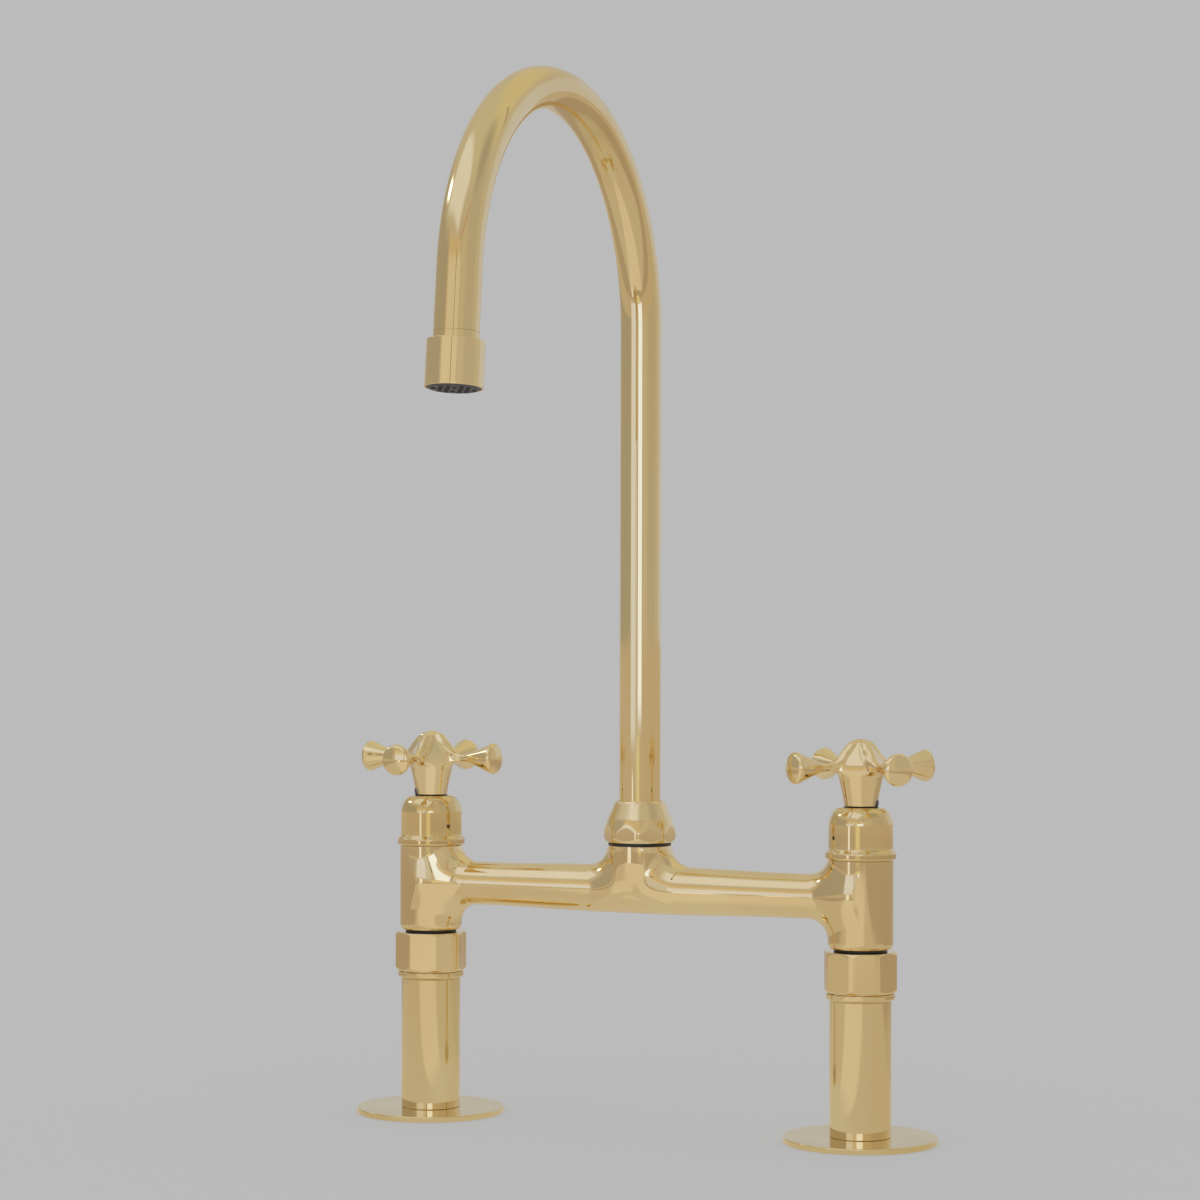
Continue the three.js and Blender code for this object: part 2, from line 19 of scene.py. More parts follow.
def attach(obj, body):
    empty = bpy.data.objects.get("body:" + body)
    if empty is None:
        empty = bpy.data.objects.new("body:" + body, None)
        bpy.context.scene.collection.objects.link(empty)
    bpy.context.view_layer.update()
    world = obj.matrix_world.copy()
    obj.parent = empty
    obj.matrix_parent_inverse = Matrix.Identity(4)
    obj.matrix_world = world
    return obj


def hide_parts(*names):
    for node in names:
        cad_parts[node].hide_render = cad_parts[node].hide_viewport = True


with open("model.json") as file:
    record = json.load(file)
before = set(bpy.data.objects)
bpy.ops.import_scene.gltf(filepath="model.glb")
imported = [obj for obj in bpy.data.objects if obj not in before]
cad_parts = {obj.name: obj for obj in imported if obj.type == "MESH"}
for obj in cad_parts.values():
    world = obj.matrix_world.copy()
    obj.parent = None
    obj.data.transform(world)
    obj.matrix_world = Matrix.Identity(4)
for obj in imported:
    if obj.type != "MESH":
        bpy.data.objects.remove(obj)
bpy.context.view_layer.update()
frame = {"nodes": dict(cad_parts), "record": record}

# %% [markdown]
# ## One ruler for everything
#
# The tap was measured in millimetres from the spout's axis at deck level. The solids stand a little to one side
# of that, so that their box is centred. `place` turns the tap's own millimetres into the scene's metres.

# %% Ruler and main sizes
AXIS_SHIFT = 0.6
AXIS_SETBACK = 82.1
HALF_CENTRES = 101.6
COLUMNS = {"left": -HALF_CENTRES, "right": HALF_CENTRES}
ROUND = 2 * math.pi


def place(x, y, z):
    return Vector((x + AXIS_SHIFT, y + AXIS_SETBACK, z)) / 1000


print("left column stands at", [round(v, 4) for v in place(-HALF_CENTRES, 0, 0)])

# %% [markdown]
# ## Camera
#
# The photograph was taken from the right, at the height of the middle of the spout, with a long lens. The place
# of the camera and its focal length were worked out from the outlines of the columns, the bridge and the arch.

# %% Camera
FOCAL_PIXELS = 3130.2102
CAMERA_DISTANCE = 1377.5053
CAMERA_AZIMUTH = math.radians(23.26009)
CAMERA_HEIGHT = 224.18478
CAMERA_PITCH = math.radians(0.242106)
CAMERA_ROLL = math.radians(0.139630)
CAMERA_SIDESTEP = -19.20399
SENSOR_WIDTH = 36.0
PHOTO_WIDTH = 1200

sin_a, cos_a = math.sin(CAMERA_AZIMUTH), math.cos(CAMERA_AZIMUTH)
look = Vector((-sin_a * math.cos(CAMERA_PITCH), cos_a * math.cos(CAMERA_PITCH), math.sin(CAMERA_PITCH)))
level_right = Vector((cos_a, sin_a, 0))
level_up = level_right.cross(look)
right = level_right * math.cos(CAMERA_ROLL) + level_up * math.sin(CAMERA_ROLL)
up = level_up * math.cos(CAMERA_ROLL) - level_right * math.sin(CAMERA_ROLL)
stand = place(CAMERA_DISTANCE * sin_a + CAMERA_SIDESTEP, -CAMERA_DISTANCE * cos_a, CAMERA_HEIGHT)
bpy.ops.object.camera_add(location=stand)
camera = bpy.context.object
camera.name = "photo_camera"
camera.rotation_euler = Matrix((right, up, -look)).transposed().to_euler()
camera.data.sensor_width = SENSOR_WIDTH
camera.data.lens = FOCAL_PIXELS / PHOTO_WIDTH * SENSOR_WIDTH
camera.data.clip_end = 20
bpy.context.scene.camera = camera
print("camera at", [round(v, 4) for v in stand], "lens", round(camera.data.lens, 2))

# %% [markdown]
# ## Finishes
#
# Polished brass is a nearly perfect mirror with a warm tint. What tells it from a flat gold colour is small:
# the tint wanders a little along a drawn tube, castings are rosier than tubes, and polishing leaves faint lines
# and a slight haze. Each finish reads the place on the piece, so nothing slides when the camera moves.

# %% Node helpers
def set_inputs(tree, node, inputs):
    """Gives each named input a plain value, or a link from another node's socket."""
    for name, value in inputs.items():
        if isinstance(value, bpy.types.NodeSocket):
            tree.links.new(value, node.inputs[name])
        else:
            node.inputs[name].default_value = value
    return node


def add_node(tree, kind, inputs=None):
    return set_inputs(tree, tree.nodes.new("ShaderNode" + kind), inputs or {})


# %% Finish helpers
def new_finish(name, colour, roughness, metallic):
    material = bpy.data.materials.new(name)
    material.use_nodes = True
    tree = material.node_tree
    shader = tree.nodes["Principled BSDF"]
    set_inputs(tree, shader, {"Base Color": (*colour, 1), "Roughness": roughness, "Metallic": metallic})
    return material, tree, shader


def add_noise(tree, scale, stretch, detail, distortion=0.0):
    """Cloudy values on Object coordinates, stretched along some axes."""
    where = add_node(tree, "TexCoord")
    mapping = add_node(tree, "Mapping", {"Vector": where.outputs["Object"], "Scale": stretch})
    noise = add_node(tree, "TexNoise", {
        "Vector": mapping.outputs["Vector"], "Scale": scale, "Detail": detail, "Distortion": distortion})
    return noise.outputs["Fac"]


def ramp_between(tree, value, low, high):
    """A colour that goes from low to high across the middle of the cloudy values."""
    ramp = add_node(tree, "ValToRGB", {"Fac": value})
    first, last = ramp.color_ramp.elements
    first.position, first.color = 0.35, (*low, 1)
    last.position, last.color = 0.65, (*high, 1)
    return ramp.outputs["Color"]


def value_between(tree, value, low, high):
    spread = add_node(tree, "MapRange", {
        "Value": value, "From Min": 0.3, "From Max": 0.7, "To Min": low, "To Max": high})
    return spread.outputs["Result"]


def roughen(tree, shader, value, strength, depth):
    bump = add_node(tree, "Bump", {"Height": value, "Strength": strength, "Distance": depth})
    set_inputs(tree, shader, {"Normal": bump.outputs["Normal"]})


# %% Brass finishes
def brass(name, deep, pale, haze, streak, wave):
    """Mirror brass: deep and pale tints that drift, haze as roughness, streak as the stretch of the drift."""
    material, tree, shader = new_finish(name, pale, haze[0], 1.0)
    drift = add_noise(tree, 22, streak, 3, 0.4)
    wipe = add_noise(tree, 160, (1, 1, 0.35), 4)
    set_inputs(tree, shader, {
        "Base Color": ramp_between(tree, drift, deep, pale), "Roughness": value_between(tree, wipe, *haze)})
    roughen(tree, shader, add_noise(tree, 95, (1, 1, 0.6), 2), wave, 0.00002)
    return material


polished_brass = brass(
    "polished_brass", (0.83, 0.65, 0.33), (0.88, 0.72, 0.41), (0.035, 0.06), (1, 1, 0.15), 0.12)
cast_brass = brass(
    "cast_brass", (0.88, 0.70, 0.385), (0.93, 0.77, 0.455), (0.045, 0.075), (1, 1, 1), 0.2)
plain_brass = brass(
    "plain_brass", (0.55, 0.40, 0.17), (0.66, 0.50, 0.24), (0.3, 0.42), (1, 1, 1), 0.6)

# %% Rubber, plastic, ceramic, fibre and steel finishes
def dull(name, low, high, roughness, grain, depth, metallic=0.0):
    """A finish with a slight change of tint and a fine grain."""
    material, tree, shader = new_finish(name, high, roughness, metallic)
    tint = add_noise(tree, 120, (1, 1, 1), 3)
    set_inputs(tree, shader, {"Base Color": ramp_between(tree, tint, low, high)})
    roughen(tree, shader, add_noise(tree, grain, (1, 1, 1), 3), 0.4, depth)
    return material


black_rubber = dull("black_rubber", (0.008, 0.007, 0.008), (0.02, 0.017, 0.018), 0.38, 900, 0.00004)
black_nylon = dull("black_nylon", (0.012, 0.012, 0.012), (0.025, 0.025, 0.026), 0.3, 700, 0.00002)
white_ceramic = dull("white_ceramic", (0.78, 0.77, 0.73), (0.84, 0.83, 0.8), 0.12, 1500, 0.00001)
red_fibre = dull("red_fibre", (0.2, 0.05, 0.03), (0.3, 0.09, 0.06), 0.8, 600, 0.00006)
dark_steel = dull("dark_steel", (0.16, 0.16, 0.17), (0.3, 0.3, 0.31), 0.25, 800, 0.00002, 1.0)
grey_plastic = dull("grey_plastic", (0.045, 0.045, 0.055), (0.075, 0.075, 0.09), 0.4, 900, 0.00003)
FINISHES = {
    "polished_brass": polished_brass, "cast_brass": cast_brass, "plain_brass": plain_brass,
    "black_rubber": black_rubber, "black_nylon": black_nylon, "white_ceramic": white_ceramic,
    "red_fibre": red_fibre, "dark_steel": dark_steel, "grey_plastic": grey_plastic,
}
print("finishes:", sorted(FINISHES))

# %% [markdown]
# ## Dress the solids that stay
#
# Every solid gets the finish of its slot in the record. The ones that show will be hidden below, when a finer
# piece takes their place.

# %% Dress the solids
slots = {row["node"]: row["material_slot"] for row in frame["record"]["subparts"]}
for node_name, node in frame["nodes"].items():
    node.data.materials.clear()
    node.data.materials.append(FINISHES[slots[node_name]])
print("dressed", len(slots), "solids")


# %% Seat a finished piece
def seat(piece, body, nodes, slot):
    """Gives a piece its finish and its body, and hides the solids that it stands for."""
    piece.data.materials.clear()
    piece.data.materials.append(FINISHES[slot])
    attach(piece, body)
    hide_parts(*nodes)
    print(f"{piece.name}: {len(piece.data.polygons)} faces on {body}")


# %% [markdown]
# ## Turned pieces
#
# A lathe makes most of this tap. In Blender the same thing is a profile that is spun round an axis. The profile
# starts as one point and is extruded point by point. Real turned edges are never knife-sharp, and on a mirror
# the tiny round on an edge is a bright line, so `rounded` replaces each corner by a small arc. Next to each arc
# it leaves one more ring close by, which keeps the long faces flat in their reflections.

# %% Profile helper
def rounded(corners, steps=5, guard=0.5):
    """Corners are (radius, height, rounding) in millimetres, round a closed outline."""
    outline = []
    count = len(corners)
    for i, (r, z, rounding) in enumerate(corners):
        here = np.array((r, z), float)
        if rounding <= 0:
            outline.append(here)
            continue
        before = np.array(corners[i - 1][:2], float) - here
        after = np.array(corners[(i + 1) % count][:2], float) - here
        room = 0.49 * min(np.linalg.norm(before), np.linalg.norm(after))
        before /= np.linalg.norm(before)
        after /= np.linalg.norm(after)
        half = math.acos(max(-1, min(1, float(before @ after)))) / 2
        reach = min(rounding / math.tan(half), room / (1 + guard))
        radius = reach * math.tan(half)
        middle = here + (before + after) / np.linalg.norm(before + after) * radius / math.sin(half)
        start, end = here + before * reach, here + after * reach
        outline.append(here + before * reach * (1 + guard))
        for k in range(steps + 1):
            t = k / steps
            swing = math.pi - 2 * half
            a = math.sin((1 - t) * swing) / math.sin(swing)
            b = math.sin(t * swing) / math.sin(swing)
            outline.append(middle + (start - middle) * a + (end - middle) * b)
        outline.append(here + after * reach * (1 + guard))
    return [tuple(p) for p in outline]


# %% Small habits of the workshop
SHARP_EDGE = math.radians(38)
WELD = 1e-6


def only(piece):
    bpy.ops.object.select_all(action="DESELECT")
    piece.select_set(True)
    bpy.context.view_layer.objects.active = piece


def just_added(name):
    piece = bpy.context.object
    piece.name = piece.data.name = name
    return piece


def place_into_mesh():
    bpy.ops.object.transform_apply(location=True, rotation=True, scale=True)


def polish():
    """Shades the active piece smooth and keeps its sharp edges."""
    bpy.ops.object.shade_smooth_by_angle(angle=SHARP_EDGE)


def close_seams():
    """Welds doubled points and turns all faces outwards, in edit mode."""
    bpy.ops.mesh.select_all(action="SELECT")
    bpy.ops.mesh.remove_doubles(threshold=WELD)
    bpy.ops.mesh.normals_make_consistent(inside=False)


# %% Spin a profile
def turned(name, profile, x=0.0, steps=128):
    """Spins a closed profile of (radius, height) round the upright axis at x."""
    bpy.ops.object.select_all(action="DESELECT")
    bpy.ops.mesh.primitive_plane_add(size=0.001, location=place(x + profile[0][0], 0, profile[0][1]))
    piece = just_added(name)
    bpy.ops.object.mode_set(mode="EDIT")
    bpy.ops.mesh.merge(type="CENTER")
    for (r0, z0), (r1, z1) in zip(profile, profile[1:] + profile[:1]):
        bpy.ops.mesh.extrude_region_move(
            TRANSFORM_OT_translate={"value": ((r1 - r0) / 1000, 0, (z1 - z0) / 1000)})
    bpy.ops.mesh.select_all(action="SELECT")
    bpy.ops.mesh.remove_doubles(threshold=WELD)
    bpy.ops.mesh.spin(steps=steps, angle=ROUND, center=place(x, 0, 0), axis=(0, 0, 1))
    close_seams()
    bpy.ops.object.mode_set(mode="OBJECT")
    place_into_mesh()
    polish()
    return piece


# %% [markdown]
# ## Flanges and legs
#
# The flange is a thin disc that hides the hole in the deck, and the leg is a plain tube. A bead at the top of
# the leg is the stop that the union nut sits on. Its underside sweeps back into the tube.

# %% Flanges, legs and beads
FLANGE = [(11, 0, 0), (13.4, 0, 0), (13.4, 1.1, 0), (30.6, 1.1, 0), (30.6, 0, 0), (32.9, 0, 0.15),
          (33, 2.4, 0.45), (11, 2.4, 0)]
LEG = [(11, 2.45, 0), (13.15, 2.45, 0.25), (13.15, 60.17, 0.12), (11, 60.17, 0)]
BEAD = [(7.5, 48, 0), (10.6, 48, 0), (10.6, 60.2, 0), (13.15, 60.22, 0.1), (13.3, 60.5, 0.5),
        (14.65, 60.95, 0.7), (14.65, 63.4, 0.75), (13.1, 63.4, 0), (13.1, 71.8, 0), (7.5, 71.8, 0)]
for side, x in COLUMNS.items():
    seat(turned(f"flange_{side}", rounded(FLANGE), x, 160), "frame", [f"{side}_flange"], "polished_brass")
    seat(turned(f"leg_{side}", rounded(LEG), x), "frame", [f"{side}_leg_tube"], "polished_brass")
    seat(turned(f"leg_bead_{side}", rounded(BEAD), x), "frame", [f"{side}_leg_adaptor"], "polished_brass")

# %% [markdown]
# ## Nuts
#
# A nut starts as a turned blank, and its flats are milled afterwards. The same is done here: the blank is spun,
# and then every point outside a flat is pulled in to it. The pull is soft by a few tenths of a millimetre,
# which leaves the polished edges of the real nuts.

# %% Mill wrench flats
def dense(profile, gap=0.35):
    """Adds points to a profile until none is further than gap from the next."""
    outline = []
    for a, b in zip(profile, profile[1:] + profile[:1]):
        a, b = np.array(a), np.array(b)
        pieces = max(1, math.ceil(np.linalg.norm(b - a) / gap))
        outline += [tuple(a + (b - a) * k / pieces) for k in range(pieces)]
    return outline


def read_points(piece):
    points = np.empty(3 * len(piece.data.vertices))
    piece.data.vertices.foreach_get("co", points)
    return points.reshape(-1, 3)


def write_points(piece, points):
    piece.data.vertices.foreach_set("co", points.ravel())
    piece.data.update()


def soft_least(a, b, blend):
    """The smaller of two values, with their crossing rounded over about blend."""
    gap = np.maximum(blend - np.abs(a - b), 0) / blend
    return np.minimum(a, b) - gap * gap * blend / 4


def mill_flats(piece, x, flats, across, turn, blend):
    """Mills flats round the axis at x. One faces turn degrees, and blend is how soft the edges are."""
    points = read_points(piece)
    away = points - np.array(place(x, 0, 0))
    radius = np.hypot(away[:, 0], away[:, 1]) * 1000
    angle = np.arctan2(away[:, 1], away[:, 0]) - math.radians(turn)
    step = ROUND / flats
    off_middle = (angle + step / 2) % step - step / 2
    limit = across / 2 / np.cos(off_middle)
    outer = radius > across / 2 * 0.8
    pulled = np.where(outer, soft_least(radius, limit, blend), radius)
    points[:, :2] = points[:, :2] + away[:, :2] * (pulled / radius - 1)[:, None]
    write_points(piece, points)


# %% Union nuts
UNION_NUT = [(13.4, 63.6, 0), (14.6, 63.6, 0.3), (16.05, 64.9, 0.9), (16.05, 80.0, 0.7), (15.3, 81, 0.5),
             (10.2, 81, 0), (10.2, 76.4, 0), (13.4, 76.4, 0)]
NUT_FLATS, NUT_ACROSS = 8, 30.0
NUT_TURN = {"left": 56.7, "right": 24.5}
for side, x in COLUMNS.items():
    nut = turned(f"union_nut_{side}", dense(rounded(UNION_NUT)), x, 256)
    mill_flats(nut, x, NUT_FLATS, NUT_ACROSS, NUT_TURN[side], 0.45)
    seat(nut, "frame", [f"{side}_union_nut"], "cast_brass")

# %% [markdown]
# ## Black rings
#
# Above each union nut, in the mouth of each bonnet and under the spout nut, a black ring closes the gap between
# the brass pieces. They are thin, but they draw the dark lines that separate the pieces in the photograph.

# %% Black rings
THREAD_RING = [(10, 81.05, 0), (11.4, 81.05, 0.2), (11.4, 82.35, 0.2), (10, 82.35, 0)]
GLIDE_RING = [(4.4, 138.5, 0), (7.55, 138.5, 0), (7.55, 142.3, 0.3), (4.4, 142.3, 0)]
NECK_RING = [(12.15, 122.85, 0), (13.75, 122.85, 0.3), (13.75, 124.25, 0.3), (12.15, 124.25, 0)]
for side, x in COLUMNS.items():
    thread_ring = turned(f"thread_ring_{side}", rounded(THREAD_RING), x)
    seat(thread_ring, "frame", [f"{side}_thread_ring"], "black_rubber")
    glide_ring = turned(f"glide_ring_{side}", rounded(GLIDE_RING), x)
    seat(glide_ring, "frame", [f"{side}_glide_ring"], "black_nylon")
seat(turned("neck_seal", rounded(NECK_RING)), "frame", ["neck_ring"], "black_rubber")

# %% [markdown]
# ## Bonnets
#
# The bonnet is a turned cap with a bead at its foot and a shoulder that closes towards the handle. The shoulder
# is not a plain quarter circle. It leaves the wall with a slight kink and is flatter on top, so its points come
# from the upper part of an ellipse.

# %% Bonnets
def ellipse(r, z, wide, tall, start, end, steps):
    angles = [math.radians(start + (end - start) * k / steps) for k in range(steps + 1)]
    return [(r + wide * math.cos(a), z + tall * math.sin(a)) for a in angles]


BONNET_RADIUS, LID_RADIUS = 13.65, 8.7
SHOULDER_START, SHOULDER_TOP, SHOULDER_KINK = 135.0, 142.1, 10
kink = math.radians(SHOULDER_KINK)
shoulder_tall = (SHOULDER_TOP - SHOULDER_START) / (1 - math.sin(kink))
shoulder_wide = (BONNET_RADIUS - LID_RADIUS) / math.cos(kink)
BONNET = (
    rounded([(12.9, 119.95, 0), (14.1, 119.95, 0.25), (15.05, 120.6, 0.6), (15.05, 122.9, 1.0),
             (14.2, 123.85, 0.6), (13.66, 124.6, 0.5), (BONNET_RADIUS, 125.8, 0)])[:-1]
    + [(BONNET_RADIUS, z) for z in (126.4, 130, SHOULDER_START - 0.6, SHOULDER_START - 0.06)]
    + ellipse(LID_RADIUS, SHOULDER_TOP - shoulder_tall, shoulder_wide, shoulder_tall, SHOULDER_KINK, 88, 18)
    + rounded([(LID_RADIUS, SHOULDER_TOP, 0), (7.75, SHOULDER_TOP, 0.2), (7.75, 139.6, 0)])
    + [(10, 139.6), (12.05, 134.5), (12.05, 122.45), (12.9, 122.45)]
)
for side, x in COLUMNS.items():
    seat(turned(f"bonnet_{side}", BONNET, x, 160), "frame", [f"{side}_bonnet"], "polished_brass")

# %% [markdown]
# ## Castings: a rough block shrunk onto an exact form
#
# The bridge and the handles are cast and then polished by hand, so one surface runs into the next. Joining
# primitives gives seams, and plain subdivision gives lumps. Instead, a few overlapping primitives are joined by
# a voxel remesh into one skin, and each point of that skin then slides onto a surface that a short formula
# describes: zero on the surface, negative inside. The formula also gives the exact normals for the shading.

# %% Form helpers
def round_join(a, b, fillet):
    """Two forms as one, with a fillet where their surfaces meet."""
    return np.maximum(fillet, np.minimum(a, b)) - np.hypot(
        np.maximum(fillet - a, 0), np.maximum(fillet - b, 0))


def round_cut(a, b, edge):
    """What two forms share, with a rounded edge."""
    return np.minimum(-edge, np.maximum(a, b)) + np.hypot(
        np.maximum(edge + a, 0), np.maximum(edge + b, 0))


def smooth_step(value, start, end):
    t = np.clip((value - start) / (end - start), 0, 1)
    return t * t * (3 - 2 * t)


def slope(form, points, nudge=0.01):
    """The direction in which a form's value grows, from small steps along each axis."""
    columns = []
    for axis in range(3):
        step = np.zeros(3)
        step[axis] = nudge
        columns.append((form(points + step) - form(points - step)) / (2 * nudge))
    return np.stack(columns, 1)


def shrink_onto(piece, form, origin, passes=8, longest=1.5):
    """Slides every point onto the form, by at most longest at a time. Millimetres from origin."""
    points = (read_points(piece) - origin) * 1000
    for _ in range(passes):
        value = form(points)
        rise = slope(form, points)
        move = (value / np.maximum((rise**2).sum(1), 0.05))[:, None] * rise
        length = np.linalg.norm(move, axis=1, keepdims=True)
        points -= move * np.minimum(1, longest / np.maximum(length, 1e-9))
    write_points(piece, points / 1000 + origin)
    return float(np.abs(form(points)).max())


def remesh(piece, voxel):
    only(piece)
    piece.data.remesh_voxel_size = voxel / 1000
    bpy.ops.object.voxel_remesh()


def none_flat(normals, middles):
    return np.zeros(len(middles), bool)


def shade_from(piece, form, origin, flat_faces=none_flat):
    """Shades by the form's exact normals, apart from faces that a cut left flat."""
    mesh = piece.data
    only(piece)
    bpy.ops.object.shade_smooth()
    rise = slope(form, (read_points(piece) - origin) * 1000)
    rise /= np.linalg.norm(rise, axis=1, keepdims=True)
    corner_points = np.empty(len(mesh.loops), int)
    mesh.loops.foreach_get("vertex_index", corner_points)
    normals = rise[corner_points]
    face_normals = np.empty(3 * len(mesh.polygons))
    mesh.polygons.foreach_get("normal", face_normals)
    middles = np.empty(3 * len(mesh.polygons))
    mesh.polygons.foreach_get("center", middles)
    flat = flat_faces(face_normals.reshape(-1, 3), middles.reshape(-1, 3))
    sizes = np.empty(len(mesh.polygons), int)
    mesh.polygons.foreach_get("loop_total", sizes)
    per_corner = np.repeat(np.arange(len(sizes)), sizes)
    keep = flat[per_corner]
    normals[keep] = face_normals.reshape(-1, 3)[per_corner[keep]]
    mesh.normals_split_custom_set([tuple(n) for n in normals])


# %% [markdown]
# ## The bridge
#
# The bridge's tube swells a little towards its middle. At each end it opens into an upright barrel with a wide
# fillet above and below, and in the middle it grows a neck whose front and back lean in towards the tube. The
# fillets are wide along the bridge and small at the neck's front and back, as polishing leaves them.
#
# Each part is a formula in millimetres from the spout's axis, and the joins of the formulas are the fillets.

# %% Tube and barrels as formulas
TUBE_HEIGHT, TUBE_RADIUS, TUBE_END = 103.45, 9.6, 98
SWELL, SWELL_REACH = 0.9, 66
BARREL_RADIUS, BARREL_MIDDLE, BARREL_HALF = 13.8, 101, 22
BARREL_FOOT, BARREL_TOP, BARREL_TUCK = 82.4, 119.78, 84.6


def tube_form(x, y, lift):
    swell = SWELL * np.cos(np.pi / 2 * np.clip(x / SWELL_REACH, 0, 1) ** 1.6) ** 2
    return np.maximum(np.hypot(y, lift) - TUBE_RADIUS - swell, x - TUBE_END)


def barrel_form(x, y, z):
    """An upright rod that draws in a little at its foot."""
    tuck = np.clip((BARREL_TUCK - z) / 2.2, 0, 1.6) ** 2 * 0.75
    rod = np.hypot(x - HALF_CENTRES, y) - (BARREL_RADIUS - tuck)
    return np.maximum(rod, np.abs(z - BARREL_MIDDLE) - BARREL_HALF)


# %% Neck and whole bridge as formulas
NECK_TOP, NECK_BLOCK_TOP = 122.8, 126
NECK_ALONG, NECK_ACROSS, NECK_DRAW = 14.15, 13.7, 0.45
NECK_FRONT, NECK_LEAN, LEAN_FROM, LEAN_TO = 10.3, 3.6, 99, 116


def neck_form(x, y, z):
    """An oval rod whose front and back are cut by faces that lean in towards the tube."""
    along = NECK_ALONG - NECK_DRAW * smooth_step(z, 120.6, NECK_TOP)
    ratio = np.hypot(x / along, y / NECK_ACROSS)
    steep = np.maximum(np.hypot(x / along**2, y / NECK_ACROSS**2), 1e-6)
    oval = (ratio - 1) * np.maximum(ratio, 0.2) / steep
    front = NECK_FRONT + NECK_LEAN * smooth_step(z, LEAN_FROM, LEAN_TO)
    neck = round_cut(oval, (np.abs(y) - front) * 0.96, 1.6)
    return np.maximum(neck, np.maximum(z - NECK_BLOCK_TOP, TUBE_HEIGHT - z))


def bridge_form(p):
    """Both halves of the bridge are alike, so x counts without its sign."""
    x, y, z = np.abs(p[:, 0]), p[:, 1], p[:, 2]
    lift = z - TUBE_HEIGHT
    upright = lift**2 / np.maximum(y**2 + lift**2, 1e-6)
    body = round_join(tube_form(x, y, lift), barrel_form(x, y, z), 8.0 + 1.5 * upright)
    sideways = x**2 / np.maximum(x**2 + y**2, 1e-6)
    return round_join(body, neck_form(x, y, z), 2.2 + 8.0 * sideways)


# %% Rods and a saw
def add_rod(radius, length, middle, turn=(0, 0, 0)):
    bpy.ops.mesh.primitive_cylinder_add(
        vertices=48, radius=radius / 1000, depth=length / 1000, location=place(*middle), rotation=turn)
    return bpy.context.object


def as_one(name, rods):
    bpy.ops.object.select_all(action="DESELECT")
    for rod in rods:
        rod.select_set(True)
    bpy.context.view_layer.objects.active = rods[0]
    bpy.ops.object.join()
    piece = just_added(name)
    place_into_mesh()
    return piece


SAW_REACH, SAW_SLACK = 17, 4


def saw_off(piece, height, keep_below, near_x):
    """Cuts the part of a piece near one upright axis with a level plane and closes the cut."""
    only(piece)
    middle = place(near_x, 0, height)
    points = read_points(piece)
    close = np.hypot(points[:, 0] - middle.x, points[:, 1] - middle.y) < SAW_REACH / 1000
    above = (points[:, 2] - middle.z) * 1000
    beyond = above > -SAW_SLACK if keep_below else above < SAW_SLACK
    bpy.ops.object.mode_set(mode="EDIT")
    bpy.ops.mesh.select_mode(type="VERT")
    bpy.ops.mesh.select_all(action="DESELECT")
    bpy.ops.object.mode_set(mode="OBJECT")
    piece.data.vertices.foreach_set("select", close & beyond)
    bpy.ops.object.mode_set(mode="EDIT")
    bpy.ops.mesh.bisect(
        plane_co=middle, plane_no=(0, 0, 1), use_fill=True,
        clear_outer=keep_below, clear_inner=not keep_below, threshold=1e-7)
    bpy.ops.object.mode_set(mode="OBJECT")


# %% Bridge casting
origin = np.array(place(0, 0, 0))
rods = [add_rod(10, 200, (0, 0, TUBE_HEIGHT), (0, math.pi / 2, 0)), add_rod(BARREL_RADIUS, 27, (0, 0, 112.5))]
rods += [add_rod(BARREL_RADIUS, 2 * BARREL_HALF, (x, 0, BARREL_MIDDLE)) for x in COLUMNS.values()]
bridge = as_one("bridge", rods)
for voxel in (1.0, 0.7):
    remesh(bridge, voxel)
    worst = shrink_onto(bridge, bridge_form, origin)
print("bridge points lie within", round(worst, 4), "mm of the form")

# %% Saw the barrels and the neck to length
for x in COLUMNS.values():
    saw_off(bridge, BARREL_TOP, True, x)
    saw_off(bridge, BARREL_FOOT, False, x)
saw_off(bridge, NECK_TOP, True, 0)
LEVELS = np.array([BARREL_TOP, BARREL_FOOT, NECK_TOP]) / 1000


def is_sawn(normals, middles):
    level = np.abs(middles[:, 2][:, None] - LEVELS[None]).min(1) < 1e-5
    return level & (np.abs(normals[:, 2]) > 0.99)


shade_from(bridge, bridge_form, origin, is_sawn)
seat(bridge, "frame", ["bridge_body"], "cast_brass")

# %% [markdown]
# ## Spout nut
#
# The nut that holds the spout down is a blunt cone. Its eight wrench flats only bite into the wide foot, so
# each ends in an arch where it runs out of the cone, and that arch catches the light.

# %% Spout nut
SPOUT_NUT_ACROSS, SPOUT_NUT_TURN = 29.5, 43.0
SPOUT_NUT = rounded([
    (12.25, 124.3, 0), (14.4, 124.3, 0.3), (15.65, 126.0, 1.6), (15.65, 128.9, 3.0), (14.15, 134.4, 6.0),
    (11.05, 141.6, 0.9), (10.5, 142.3, 0.3), (9.45, 142.3, 0.1), (9.45, 134.2, 0), (12.25, 134.2, 0)], steps=8)
spout_nut = turned("spout_nut_polished", dense(SPOUT_NUT, 0.3), 0, 288)
mill_flats(spout_nut, 0, NUT_FLATS, SPOUT_NUT_ACROSS, SPOUT_NUT_TURN, 0.35)
seat(spout_nut, "frame", ["spout_nut"], "cast_brass")

# %% [markdown]
# ## Spout
#
# The spout is one drawn tube: a straight riser, one round bend and a short straight drop that leans outwards. A
# ring of faces is extruded up the riser, spun round the middle of the bend and extruded along the drop.

